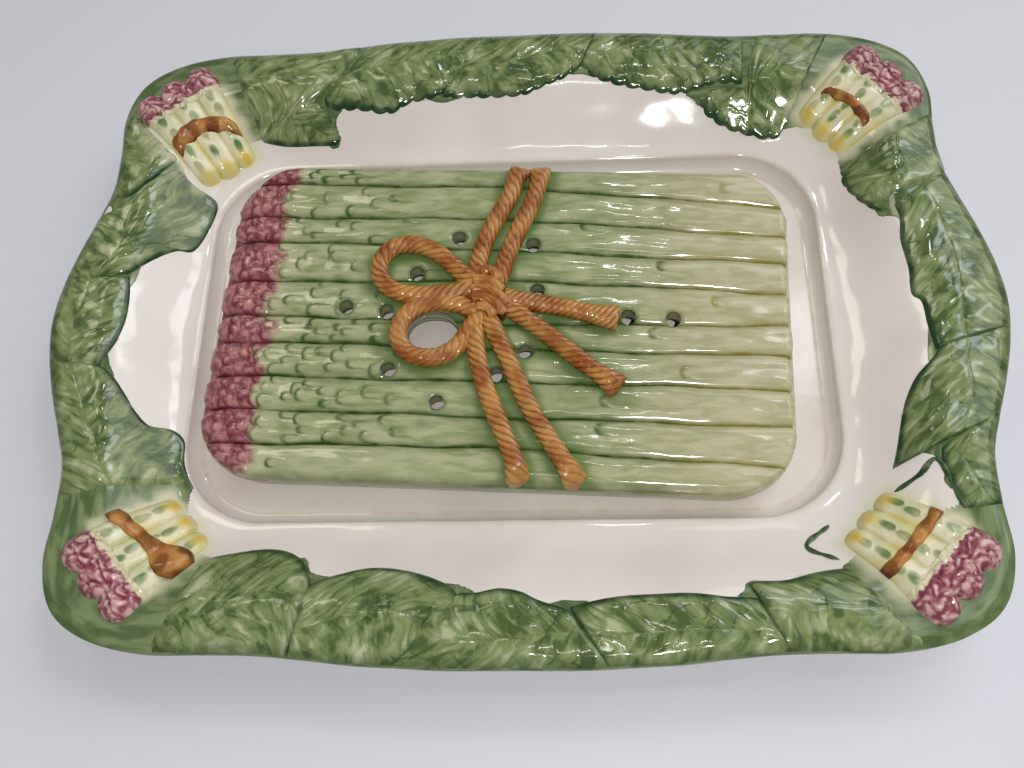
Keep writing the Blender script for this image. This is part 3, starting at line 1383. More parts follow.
    def strap(self) -> Mesh:
        """The tie: a round-edged strap laid over the stalks from side to side.

        Returns:
            The mesh with its paint values.
        """
        length = self.frame()[3]
        r, side = grid_of(np.linspace(-1.0, 1.0, 26), np.linspace(-0.5, 0.5, 110))
        swell = bell(side - math.copysign(0.34, self.blob), 0.17) * abs(self.blob)
        wide = self.tie_width * (0.5 + 0.03 * np.sin(side * 13.0) + 0.03 * np.sin(side * 31.0 + 1.0) + swell)
        along = length * (self.tie[0] + self.tie[1] * side - self.arch * (2 * side) ** 2) + r * wide
        p = self.place(along, side * 2 * self.reach)
        x, y = p[..., 0], p[..., 1]
        soft = 0.7 + 0.3 * self.round(np.clip(side * 2 * self.reach, -0.5, 0.5))
        hump = np.sqrt(np.clip(1 - r * r, 0, 1)) * np.sqrt(np.clip(1 - (np.abs(side) / 0.5) ** 6, 0, 1))
        z = self.form.face_z(x, y) + self.stalk_h * soft * self.edge(side)
        top = z - 0.3 + (self.tie_h + 0.8 * swell) * hump * (1 + 0.12 * ripple(x, y, 6.0, 1.0))
        wash = ease((0.6 - hump) / 0.5) * 0.5 + 0.75 * ease(0.35 + ripple(x, y, 10.0, 5.0))
        return self.laid(x, y, z - self.tie_sunk, top, {"groove": np.clip(wash, 0, 1)})


BUNDLES: tuple[Bundle, ...] = (
    Bundle("far_left", ((148.1, 0.12), (144.5, 0.624)), (0.66, 0.12), tie_width=7.4, arch=0.2, reach=0.47),
    Bundle("far_right", ((32.8, 0.265), (33.9, 0.654)), (0.62, -0.05), tie_width=4.4, arch=0.15, reach=0.42),
    Bundle(
        "near_left", ((-146.4, 0.125), (-145.2, 0.554)), (0.6, -0.24),
        tie_width=5.8, arch=0.0, blob=0.8, reach=0.58),
    Bundle("near_right", ((-32.6, 0.231), (-34.4, 0.636)), (0.68, 0.0), tie_width=4.8, arch=0.03, reach=0.5),
)


# The drainer
@dataclass(frozen=True)
class Bract:
    """One scale on a spear.

    Its nose, middle line, length, half width, nose length, rise, dome share and darker side.
    """

    nose: float
    line: float
    length: float
    half: float
    point: float
    rise: float
    dome: float = 0.0
    lean: float = 0.0


@dataclass(frozen=True)
class DrainerForm:
    """Sizes of the drainer and the formulas of its outline and grooves, in its own frame."""

    half_l: float = 122.5
    half_w: float = 74.5
    corner_r: float = 28.0
    centre: tuple[float, float] = (-7.5, 0.5)
    turn: float = 3.0
    foot: float = 10.0
    under: float = 18.0
    deck_edge: float = -1.6
    deck: float = 22.0
    groove: float = 24.2
    crest: float = 28.4
    split: float = -98.5
    grooves: tuple[tuple[float, float, float], ...] = (
        (74.5, 74.5, 74.5), (64.6, 64.6, 56.0), (47.1, 48.0, 41.0), (34.5, 32.0, 28.0), (14.5, 17.5, 13.4),
        (-2.3, -3.7, -1.4), (-14.8, -15.5, -15.3), (-30.8, -30.2, -30.2), (-45.8, -46.2, -46.1),
        (-60.7, -59.0, -63.6), (-74.5, -74.5, -74.5),
    )
    holes: Places = (
        (-0.163, 0.504), (0.103, 0.47), (-0.302, 0.262), (0.128, 0.169), (-0.539, 0.03), (-0.395, 0.011),
        (0.444, 0.011), (0.597, 0.006), (0.098, -0.221), (-0.366, -0.355), (0.005, -0.365), (-0.188, -0.547),
    )
    hole_r: float = 3.2
    finger: tuple[float, float] = (-0.228, -0.118)
    finger_r: float = 9.5
    finger_reach: float = 1.5
    flare: float = 1.0
    flare_z: float = 20.5

    def axis(self) -> tuple[float, float]:
        """Cosine and sine of the drainer's turn."""
        return math.cos(math.radians(self.turn)), math.sin(math.radians(self.turn))

    def world(self, u: Array, v: Array, z: Array) -> Array:
        """Points of the platter's frame from the drainer's own."""
        c, s = self.axis()
        return np.stack([self.centre[0] + u * c + v * s, self.centre[1] - u * s + v * c, z + 0 * u], axis=-1)

    def line(self, k: int, u: Array | float) -> Array:
        """Place across the drainer of groove k, counted from the far edge, with a slight wander.

        Args:
            k: Number of the spear, from the far side.
            u: Places along the drainer.

        Returns:
            The places.
        """
        base = np.interp(u, (-82.0, 0.0, 122.0), self.grooves[k])
        if 0 < k < len(self.grooves) - 1:
            base = base + 0.35 * np.sin(u / 13.0 + k * 2.1) + 0.2 * np.sin(u / 5.3 + k)
        return base

    def end_u(self, v: Array) -> Array:
        """Half length of the rounded outline at a place across it."""
        over = np.clip(np.abs(v) - (self.half_w - self.corner_r), 0, self.corner_r)
        return self.half_l - self.corner_r + np.sqrt(np.maximum(0.0, self.corner_r ** 2 - over ** 2))

    def openings(self) -> list[tuple[float, float, float, float]]:
        """Middle, half reach and radius of each hole.

        Returns:
            One row for each opening.
        """
        rows = [(x * self.half_l, y * self.half_w, 0.0, self.hole_r) for x, y in self.holes]
        x, y = self.finger
        rows.append((x * self.half_l, y * self.half_w, self.finger_reach, self.finger_r))
        return rows

    @staticmethod
    def round_hole(opening: tuple[float, float, float, float], grow: Array | float) -> tuple[Array, Array]:
        """Places round an opening, grown: a circle drawn apart along the drainer.

        Args:
            opening: Middle, half reach and radius.
            grow: How far the outline is grown.

        Returns:
            Places along and across the drainer.
        """
        cu, cv, reach, radius = opening
        a = np.linspace(0, 2 * math.pi, 64 if reach else 40, endpoint=False)
        u = cu + (radius + grow) * np.cos(a) + reach * np.sign(np.cos(a))
        return u, cv + (radius + grow) * np.sin(a)


@dataclass
class Drainer:
    """The lift-out drainer: ten spears with bracted tips on a tray."""

    form: DrainerForm
    step: float = 0.62
    sunk: float = 0.35
    side_rise: float = 1.9
    nose_round: float = 7.5
    heel_round: float = 3.2
    bead_start: float = -101.0
    bead_fade: float = 8.0
    hole_dip: float = 0.45
    hole_soft: float = 0.9
    bare_nose: float = 7.5
    tip_end: float = -100.0
    bract_end: float = -22.0
    tip_row: float = 4.6
    stalk_row: float = 6.0
    row_growth: float = 5.0
    crowd: tuple[float, ...] = (0.4, 0.5, 0.5, 0.5, 0.55, 0.7, 0.75, 0.8, 0.8, 0.05)
    lone_bracts: Places = (
        (34, 43), (66, 22), (61, -10), (73, -28), (38, -52), (40, -40), (-45, 50), (95, 60), (12, 62),
        (88, 4),
    )
    rope_lines: list[tuple[Array, Array]] = field(default_factory=list)

    def bracts(self, k: int) -> list[Bract]:
        """Scales of one spear, from its tip to its plain stalk, in two staggered rows.

        Args:
            k: Number of the spear, from the far side.

        Returns:
            The scales, from the tip on.
        """
        form = self.form
        draw = np.random.default_rng(40 + k)
        made: list[Bract] = []
        left = -form.half_l - 2.0
        u, i = left, 0
        while u < self.bract_end:
            mid = 0.5 * (form.line(k, u) + form.line(k - 1, u))
            wide = float(form.line(k - 1, u) - form.line(k, u))
            tip = u < self.tip_end
            fade = float(1 - ease((u + 62.0) / 42.0))
            spread = float(ease((u + 98.0) / 60.0))
            rows = 3 if tip else 2
            for j in range(rows):
                off = ((j + 0.25 + 0.5 * (i % 2)) / rows - 0.5) * wide
                shift = draw.normal(0.0, 1.0)
                crowd = self.crowd[k - 1] * (0.25 + 0.75 * fade)
                if u < left + self.bare_nose or (not tip and draw.random() > crowd):
                    continue
                if tip:
                    size = draw.uniform(0.75, 1.25)
                    line = float(mid) + off + 0.6 * shift
                    made.append(Bract(u + shift, line, 7.5 * size, 0.18 * wide * size, 2.8, 0.95, 0.6))
                else:
                    size = draw.uniform(0.7, 1.3) * (1.0 + 0.5 * spread)
                    line = float(mid) + off * draw.uniform(0.6, 1.05)
                    half = wide * draw.uniform(0.1, 0.19)
                    lean = draw.uniform(-0.9, 0.9)
                    rise = 0.25 + 0.3 * fade
                    made.append(Bract(u + shift * 2.2, line, 9.5 * size, half, 2.9 * size, rise, 0.0, lean))
            u += self.tip_row if tip else self.stalk_row + self.row_growth * spread
            i += 1
        c, s = form.axis()
        for x, y in self.lone_bracts:
            du, dv = x - form.centre[0], y - form.centre[1]
            bu, bv = du * c - dv * s, du * s + dv * c
            if form.line(k, bu) < bv < form.line(k - 1, bu):
                made.append(Bract(bu - 5, bv, 20.0, 3.0, 8.0, 0.3))
        return sorted(made, key=lambda b: b.nose)

    def relief(self, k: int, u: Array, v: Array) -> tuple[Array, Array]:
        """Height and dark line of the scales of spear k.

        A scale is the inside of an ellipse for its nose and of a strip behind it. It stands highest at the
        nose and runs out towards its base, and a scale nearer the cut end lies over the one before it.

        Args:
            k: Number of the spear.
            u: Places along the drainer.
            v: Places across it.

        Returns:
            The height and the line's darkness.
        """
        height, dark = np.zeros(u.shape), np.zeros(u.shape)
        for b in self.bracts(k):
            near = (np.abs(v - b.line) < b.half + 1.5) & (u > b.nose - 2.0) & (u < b.nose + b.length)
            if not near.any():
                continue
            du, dv = u[near] - b.nose, (v[near] - b.line) / b.half
            e = np.hypot(np.clip((b.point - du) / b.point, 0, None), dv)
            inside = np.clip((1.0 - e) * b.half / 0.55, 0, 1)
            fade = np.clip(1.0 - du / b.length, 0, 1)
            flat = fade ** 0.8
            domed = np.sqrt(np.clip(1.0 - e * e, 0, 1)) * (0.4 + 0.6 * fade)
            lift = b.rise * (b.dome * domed + (1 - b.dome) * flat) * ease(inside)
            old = height[near]
            height[near] = np.where(e < 1, np.maximum(lift, old * (1 - 0.6 * ease(inside))), old)
            at_nose = bell(du, 1.9)
            side = np.clip(1.0 + b.lean * np.sign(dv) - 0.5 * (b.dome == 0), 0.12, 1.0)
            line = bell((e - 1.06 - 0.1 * at_nose) * b.half, 0.28 + 0.38 * at_nose) * ease((fade - 0.2) / 0.5)
            line = line * (at_nose + (1 - at_nose) * side)
            dark[near] = np.maximum(dark[near] * (1 - inside), line)
        return height, dark

    def surface(
        self, k: int, u: Array, v: Array, w: Array, start: Array, end: Array,
    ) -> tuple[Array, dict[str, Array]]:
        """Height of spear k and its paint.

        Args:
            k: Number of the spear, from the far side.
            u: Places along the drainer.
            v: Places across it.
            w: Places across the spear, from -1 to 1.
            start: Left end of each line along the spear.
            end: Right end of each line along it.

        Returns:
            The height and the point values.
        """
        form = self.form
        section = (np.sqrt(1 - 0.94 * np.abs(w) ** 3.6) - math.sqrt(0.06)) / (1 - math.sqrt(0.06))
        low = np.full(u.shape, form.groove + self.side_rise)
        outer = (k == 1) * ease(w) + (k == 10) * ease(-w)
        low = low - outer * (form.groove - form.deck - 0.2)
        tip = 1 - ease((u - self.bead_start) / self.bead_fade)
        wave = 0.13 * ripple(u, v * 3, 42.0, k) + 0.05 * ripple(u, v * 2, 13.0, k + 5)
        wave = wave + 0.06 * np.sin(w * 7 + u / 31 + k)
        z = low + (form.crest - low + 0.2 * tip - 0.35) * section ** (1.0 + 0.15 * tip) + wave * section
        lift, dark = self.relief(k, u, v)
        z = z + lift * np.clip(section * 2.0, 0, 1) - 0.35 * tip
        nose, heel = quarter((u - start) / self.nose_round), quarter((end - u) / self.heel_round)
        z = form.deck - 0.2 + (z - form.deck + 0.2) * nose ** 0.9 * heel ** 0.7
        hole = np.zeros(u.shape)
        for cu, cv, reach, radius in form.openings():
            gap = np.hypot(np.maximum(0, np.abs(u - cu) - reach), v - cv) - radius
            z = z - self.hole_dip * bell(gap, self.hole_soft) * (gap > -2)
            hole = np.maximum(hole, bell(gap, 1.0))
        side = (1 - np.abs(w)) * 0.5 * (form.line(k - 1, u) - form.line(k, u))
        thin = bell(side, 0.65 + 0.3 * ripple(u, v, 23.0, 3.0)) * (1 - 0.7 * (np.abs(v) > 72.5))
        wash = bell(side, 2.6) * (0.22 + 0.2 * ripple(u, v * 0.2, 37.0, k + 2.0))
        mask = np.clip(np.maximum(np.maximum(thin, dark * 0.95), hole * 0.75) + wash, 0, 1)
        values = {"along": u, "across": v + 31.0 * k, "groove": mask, "shade": self.rope_shade(u, v)}
        return np.minimum(z, form.crest + 0.9), values

    def rope_shade(self, u: Array, v: Array) -> Array:
        """Deeper green brushed beside the ropes: a bell of the distance to their middle lines.

        Args:
            u: Places along the drainer.
            v: Places across it.

        Returns:
            The shade.
        """
        if not self.rope_lines:
            return np.zeros(u.shape)
        far = np.full(u.shape, 1e9)
        for p, q in self.rope_lines:
            run = q - p
            f = np.clip(((u - p[0]) * run[0] + (v - p[1]) * run[1]) / (run @ run), 0, 1)
            far = np.minimum(far, np.hypot(u - p[0] - f * run[0], v - p[1] - f * run[1]))
        near_left = ease((-60.0 - v) / 4.0) * ease((20.0 - u) / 50.0)
        return bell(np.maximum(far - 3.0, 0.0), 5.0 + 2.0 * ripple(u, v, 17.0, 2.0)) - 0.4 * near_left

    def across(self, k: int, u: Array | float, share: Array) -> Array:
        """Place across the drainer at a share from spear k's near groove to its far one."""
        far, near = self.form.line(k - 1, u), self.form.line(k, u)
        return near + (far - near) * share

    def lane(self, k: int, from_u: float | None, to_u: float | None) -> Mesh:
        """A stretch of spear k, with its share of the holes left open.

        Args:
            k: Number of the spear.
            from_u: Left end, or None for the spear's nose.
            to_u: Right end, or None for its cut end.

        Returns:
            The mesh.
        """
        form = self.form
        w = np.linspace(1.0, -1.0, 29)
        w = np.sign(w) * (1 - (1 - np.abs(w)) ** 1.25)
        half = 0.5 * (1 + w)
        start_v = self.across(k, -90.0, half)
        nose = -form.half_l - 1.0 + 5.6 * np.abs(w) ** 2.6 + 0.9 * math.sin(k * 2.3)
        start = np.maximum(nose, -form.end_u(start_v) - 0.3)
        end_v = self.across(k, 115.0, half)
        cut = form.half_l - 0.5 * (1 + math.sin(k * 1.9)) - 1.1 * np.abs(w) ** 3
        end = np.minimum(cut, form.end_u(end_v))
        a = start if from_u is None else np.full(len(w), from_u)
        b = end if to_u is None else np.full(len(w), to_u)
        count = int((b.max() - a.min()) / self.step) + 2
        f = np.linspace(0, 1, count)[:, None]
        u = a[None, :] + (b - a)[None, :] * f
        v = self.across(k, u, half[None, :])
        ww = np.broadcast_to(w, u.shape)
        z, values = self.surface(k, u, v, ww, start[None, :], end[None, :])
        low = form.world(u, v, np.full(u.shape, form.deck - self.sunk))
        made = Mesh.shell(form.world(u, v, z), low, values)
        local = np.concatenate([np.stack([u.ravel(), v.ravel()], axis=1)] * 2)
        return self.pierced(made, local)

    def pierced(self, mesh: Mesh, local: Array) -> Mesh:
        """Takes the faces over the holes away and draws the faces round them onto the holes' outlines.

        Args:
            mesh: A spear's mesh.
            local: Its points in the drainer's own frame.

        Returns:
            The mesh.
        """
        form = self.form
        place = local.copy()
        for cu, cv, reach, radius in form.openings():
            kept = []
            touched = np.zeros(len(place), bool)
            for group in mesh.faces:
                mid = place[group].mean(axis=1) - (cu, cv)
                gap = np.hypot(np.maximum(0, np.abs(mid[:, 0]) - reach), mid[:, 1]) - radius
                touched[group[gap < 0].ravel()] = True
                kept.append(group[gap >= 0])
            if not touched.any():
                continue
            foot = np.column_stack([np.clip(place[:, 0] - cu, -reach, reach) + cu, np.full(len(place), cv)])
            ray = place - foot
            size = np.maximum(np.linalg.norm(ray, axis=1, keepdims=True), 1e-6)
            place[touched] = (foot + ray / size * radius)[touched]
            mesh.faces = kept
        z = mesh.points[:, 2]
        mesh.points = form.world(place[:, 0], place[:, 1], z)
        used = np.unique(np.concatenate([g.ravel() for g in mesh.faces]))
        index = np.zeros(len(mesh.points), int)
        index[used] = np.arange(len(used))
        mesh.points = mesh.points[used]
        mesh.values = {n: a[used] for n, a in mesh.values.items()}
        mesh.faces = [index[g] for g in mesh.faces if len(g)]
        return mesh

    def height(self, u: Array, v: Array) -> Array:
        """Height of the spears' surface at places of the drainer's own frame.

        Args:
            u: Places along the drainer.
            v: Places across it.

        Returns:
            The heights.
        """
        z = np.full(u.shape, self.form.groove)
        for k in range(1, len(self.form.grooves)):
            far, near = self.form.line(k - 1, u), self.form.line(k, u)
            w = np.clip(2 * (v - near) / (far - near) - 1, -1, 1)
            inside = (v >= near) & (v <= far)
            got = self.surface(k, u, v, w, np.full(u.shape, -130.0), np.full(u.shape, 130.0))[0]
            z = np.where(inside, got, z)
        return z

    def tubes(self) -> Mesh:
        """Walls of the holes, from under the deck up to the spears' surface.

        Returns:
            The mesh.
        """
        form = self.form
        made: list[Mesh] = []
        for opening in form.openings():
            grow = np.array([0.0, 0.0, 0.35, 1.0])[:, None] * form.flare
            u, v = form.round_hole(opening, grow)
            n = u.shape[1]
            top = self.height(u[0], v[0]) + 0.02
            middle = 0.5 * (top + form.flare_z)
            levels = np.stack([top, middle, np.full(n, form.flare_z), np.full(n, form.under - 0.01)])
            points = form.world(u, v, levels)
            paint = {
                "along": u.ravel(), "across": v.ravel(),
                "groove": np.repeat([0.7, 0.1, 0.0, 0.0], n), "shade": np.repeat([0.0, -1.0, -1.0, -1.0], n),
            }
            made.append(Mesh(points.reshape(-1, 3), [Mesh.grid_faces(4, n, True)[:, ::-1]], paint))
        return Mesh.together(made)

    def cut_holes(self, tray: bpy.types.Object) -> None:
        """Cuts the flared openings through the tray with one boolean, applied to its mesh.

        Args:
            tray: The tray.
        """
        form, reach = self.form, 10.0
        cutters = []
        for opening in form.openings():
            u, v = form.round_hole(opening, form.flare)
            low, high = np.full(len(u), form.under - reach), np.full(len(u), form.deck + reach)
            cutters.append(Mesh.rings(np.stack([form.world(u, v, low), form.world(u, v, high)])))
        cutter = Mesh.together(cutters)
        mesh = bpy.data.meshes.new("hole_cutter")
        faces = [face for group in cutter.faces for face in group.tolist()]
        mesh.from_pydata((cutter.points * MM).tolist(), [], faces)
        tool = put("hole_cutter", mesh)
        cut = tray.modifiers.new("holes", "BOOLEAN")
        cut.object = tool
        cut.solver = "EXACT"
        bpy.context.view_layer.update()
        made = bpy.data.meshes.new_from_object(tray.evaluated_get(bpy.context.evaluated_depsgraph_get()))
        tray.modifiers.clear()
        tray.data = made
        bpy.data.objects.remove(tool)

    def tray(self) -> Mesh:
        """The tray: a section carried round the drainer's rounded outline, open underneath.

        Each ring is the outline grown or shrunk, from the middle of the deck over its edge, down the
        turned-down side, round its foot and up inside to the middle of the deck's underside.

        Returns:
            The mesh.
        """
        form = self.form
        a = np.linspace(0, 360, 480, endpoint=False)

        def ring(grow: float, z: float, k: float = 1.0) -> Array:
            """Ring of the outline grown and scaled about the centre."""
            reach = rounded_reach(a, form.half_l + grow, form.half_w + grow, form.corner_r + grow) * k
            return form.world(*polar(a, reach).T, np.full(len(a), z))

        top, foot, under = form.deck, form.foot, form.under
        edge = form.deck_edge
        profile = [
            (edge, top, 0.02), (edge, top, 0.5), (edge, top), (-0.5, top - 0.1), (-0.1, top - 0.6),
            (0, top - 1.4), (0, top - 3.2), (-0.5, foot + 7.2), (-1.1, foot + 5.0), (-1.4, foot + 2.6),
            (-1.6, foot + 1.0), (-2.1, foot + 0.25), (-3.0, foot), (-5.0, foot), (-6.0, foot + 0.3),
            (-6.5, foot + 1.2), (-6.5, under - 2.5), (-6.9, under - 0.9), (-8.2, under), (-9.0, under),
            (-9.0, under, 0.5), (-9.0, under, 0.02),
        ]
        rings = np.array([ring(*row) for row in profile])
        outer = [0.1, 0.1, 0.3, 0.2, 0.1, 0.15, 0.4, 0.5, 0.3, 0.25, 0.35, 0.7, 0.5]
        wet = np.array(outer + [0.2] * (len(profile) - len(outer)))
        u = rings[..., 0] - form.centre[0]
        values = {"along": u, "across": rings[..., 1], "groove": np.broadcast_to(wet[:, None], u.shape)}
        return Mesh.rings(rings, values)


@dataclass
class RopeBow:
    """The rope bow: twisted runs laid over the spears and a knot of crossing turns.

    Towards the drainer's long sides the ropes bend down over it, and they bite into the spears.
    """

    drainer: Drainer
    width: float = 7.8
    height: float = 6.6
    lay: float = 22.0
    strands: int = 6
    step: float = 0.55
    around: int = 72
    end_round: float = 1.2
    bend_start: float = 68.0
    bend_run: float = 6.3
    bend_drop: float = 5.2
    bite: float = 0.7
    lines: list[tuple[Array, Array]] = field(default_factory=list)

    def run(
        self, path: Path, lift: float = 0.0, scale: float = 1.0, seed: float = 0.0, hand: float = 1.0,
        pace: float = 1.0, flare: float = 0.0, lines: float = 1.0, side: float = 0.5,
    ) -> Mesh:
        """A twisted rope laid on the spears along a path.

        The section's radius is pinched at as many lines as the rope has strands, which turn round it
        once in a lay, and its lower half is drawn down to the surface that it lies on.

        Args:
            path: Points in the drainer's own frame, one row each.
            lift: Extra height of the rope's middle.
            scale: Size of the rope's section.
            seed: Phase of the twist.
            hand: Which way it turns, 1 or -1.
            pace: Length of its lay, as a share of the bow's.
            flare: How much wider the far end of the run is, as a share.
            lines: Strength of the dark lines.
            side: Darkness of its lower sides.

        Returns:
            The mesh.
        """
        form = self.drainer.form
        path = np.asarray(path, float)
        self.lines.extend(zip(path[:-1], path[1:]))
        length = float(np.linalg.norm(np.diff(path, axis=0), axis=1).sum())
        n = int(length / self.step)
        mid = curve_through(path, n)
        way = headings(mid)
        s = np.linspace(0, length, n)[:, None]
        turn = np.linspace(0, 2 * math.pi, self.around, endpoint=False)[None, :]
        wound = hand * 2 * math.pi * s / (self.lay * pace) + 0.1 * np.sin(s / 4.0)
        twist = self.strands * (turn + wound) / 2 + seed
        pinch = np.abs(np.cos(twist))
        body = 0.82 + 0.19 * pinch ** 0.55 + 0.02 * np.sin(s / 5.0 + seed)
        over = np.abs(mid[:, 1]) - self.bend_start
        drop = self.bend_drop * np.clip(over / self.bend_run, 0, 1) ** 1.8
        zc = form.crest + 0.1 + self.height * 0.4 - drop + lift
        half = length / 2
        past = np.clip((np.abs(s - half) - (half - self.end_round)) / self.end_round, 0, 1)
        end = np.sqrt(np.clip(1 - past ** 3, 0.02, 1))
        c, q = np.cos(turn), np.sin(turn)
        wide = np.sign(c) * np.abs(c) ** 0.85 * self.width / 2 * body * scale * end
        wide = wide * (1 + flare * ease((s - length + 13.0) / 13.0))
        u = mid[:, :1] + way[:, 1:] * wide
        v = np.clip(mid[:, 1:2] - way[:, :1] * wide, -form.half_w - 0.2, form.half_w + 0.2)
        floor = self.drainer.height(u, v) - drop[:, None] * 0.6 - self.bite
        zc = np.broadcast_to(np.reshape(zc, (-1, 1)), u.shape)
        up = zc + np.sign(q) * np.abs(q) ** 0.75 * self.height * 0.45 * body * scale * end
        down = zc + q * (zc - floor)
        z = np.where(q >= 0, up, down)
        thin = 0.45 + 0.55 * ease((74.0 - np.abs(v)) / 9.0)
        dark = 1.2 * lines * bell(pinch, 0.3 + 0.1 * np.sin(s / 7.0 + seed)) * thin
        dark = dark + side * ease((side - 0.6 - q) / 0.5)
        pale = 1 - ease((76.0 - np.abs(v)) / 13.0)
        return Mesh.rings(form.world(u, v, z), {"groove": np.clip(dark, 0, 1), "pale": pale})

    def knot(self) -> Mesh:
        """The knot: a core over the crossing of the ropes and five turns laid slantwise over it.

        Returns:
            The mesh.
        """
        core = [(-6.4, 15.0), (-5.2, 9.0), (-4.2, 4.0), (-3.0, -2.4)]
        made = [self.run(core, lift=-1.3, scale=1.2, lines=0.2, side=1.1, hand=-1.0)]
        turns = (
            [(-8.4, 16.2), (-5.6, 18.3), (-2.6, 17.2), (-0.6, 13.2)],
            [(-11.6, 12.4), (-7.4, 13.8), (-2.6, 12.2), (1.6, 8.4)],
            [(-12.4, 8.2), (-7.6, 9.8), (-2.4, 8.2), (1.8, 4.8), (3.6, 1.2)],
            [(-11.8, 4.2), (-7.2, 5.4), (-2.8, 4.0), (0.8, 0.8), (2.0, -2.8)],
            [(-9.4, 0.2), (-6.2, 0.9), (-3.2, -0.8), (-1.4, -4.2)],
        )
        for i, path in enumerate(turns):
            made.append(self.run(path, lift=2.6, scale=0.58, seed=0.7 * i, lines=0.35, pace=1.6, side=1.1))
        return Mesh.together(made)

    def pieces(self) -> dict[str, Mesh]:
        """Meshes of the bow by CAD node.

        Returns:
            The meshes.
        """
        far_left = [
            (-9.3, 13), (-10.3, 19.1), (-9.3, 28.4), (-6.7, 37.8), (-2.2, 48.8), (1.7, 57.9), (3.6, 66.7),
            (6.4, 74.3),
        ]
        far_right = [
            (-1.3, 12.8), (1.0, 22.0), (3.8, 32.6), (7.6, 43.5), (11.9, 55.3), (14.0, 66.8), (13.4, 74.3),
        ]
        near_left = [
            (-9.1, -7), (-9.1, -12.7), (-6.8, -23.6), (-3.4, -34.3), (1.5, -45.9), (7.1, -57.8),
            (10.6, -66.0), (12.8, -74.3),
        ]
        near_right = [
            (-4.2, -2.6), (-0.2, -11.2), (4.8, -20.9), (9.3, -30.4), (14.8, -42.0), (21.9, -53.3),
            (29.2, -64.3), (36.0, -74.3),
        ]
        loop_far = [
            (-9.3, 12.6), (-14.1, 15.1), (-21.6, 22.1), (-29.1, 28.2), (-38.9, 31.6), (-48.1, 29.6),
            (-52.6, 22.6), (-51.6, 14.6), (-45.4, 8.7), (-36.3, 6.9), (-24.9, 7.9), (-15.3, 9.6),
            (-9.1, 10.0),
        ]
        loop_near = [
            (-6.2, 1.4), (-11.0, 0.6), (-15.5, 2.4), (-21.2, 3.4), (-29.8, 2.6), (-37.0, -0.8),
            (-41.0, -6.6), (-41.2, -13.6), (-37.4, -19.6), (-30.5, -22.2), (-22.6, -21.3), (-16.0, -16.4),
            (-11.4, -8.6), (-7.2, -1.4),
        ]
        tail_far = [(1.4, 7.1), (9.4, 5.4), (19.7, 3.7), (29.8, 2.1), (40.0, -0.2), (50.6, -2.2)]
        tail_near = [
            (1.6, 3.9), (8.7, -1.0), (16.8, -7.0), (26.1, -14.2), (36.2, -22.4), (46.3, -29.5),
            (51.4, -33.4),
        ]
        left = partial(self.run, hand=-1.0)
        return {
            "bow_loop_far": left(loop_far),
            "bow_loop_near": left(loop_near, seed=0.5, lines=0.45),
            "bow_tail_far": left(tail_far, pace=0.7, flare=0.5),
            "bow_tail_near": left(tail_near, seed=0.9, flare=0.4),
            "bow_wrap_far": Mesh.together([
                left(far_left, flare=0.35), left(far_right, seed=1.0, flare=0.35)]),
            "bow_wrap_near": Mesh.together([
                left(near_left, flare=0.25), left(near_right, seed=0.6, flare=0.35)]),
            "bow_knot": self.knot(),
        }


# The studio
@dataclass(frozen=True)
class Lamp:
    """Soft rectangular lamp that points at the origin: its place and two sides in metres, and its watts."""

    name: str
    place: tuple[float, float, float]
    size: tuple[float, float]
    power: float
    colour: Colour

    def hang(self) -> None:
        """Makes the lamp: its local Z looks away from the origin, and its local X lies across that."""
        data = bpy.data.lights.new(self.name, "AREA")
        data.shape = "RECTANGLE"
        data.size, data.size_y = self.size
        data.energy = self.power
        data.color = self.colour
        back = np.array(self.place) / np.linalg.norm(self.place)
        side = np.cross((0.0, 1.0, 0.0), back)
        side /= np.linalg.norm(side)
        put(self.name, data).matrix_world = pose(side, np.cross(back, side), back, self.place)


LAMPS: tuple[Lamp, ...] = (
    Lamp("daylight", (2.6, 2.3, 3.0), (4.0, 4.0), 82.0, (0.98, 0.99, 1.0)),
    Lamp("overhead_lamp", (0.03, 0.02, 1.5), (0.24, 0.014), 0.6, (1.0, 0.98, 0.94)),
    Lamp("far_lamp", (0.13, 1.2, 2.1), (0.12, 0.03), 1.0, (0.9, 0.95, 1.0)),
    Lamp("right_window", (0.72, 0.86, 1.75), (0.5, 0.22), 1.8, (0.84, 0.9, 1.0)),
    Lamp("left_lamp", (-0.6, 0.86, 1.65), (0.3, 0.28), 1.4, (1.0, 0.93, 0.74)),
    Lamp("front_lamp", (0.1, -0.43, 0.94), (0.016, 0.016), 5.3, (1.0, 0.98, 0.94)),
)


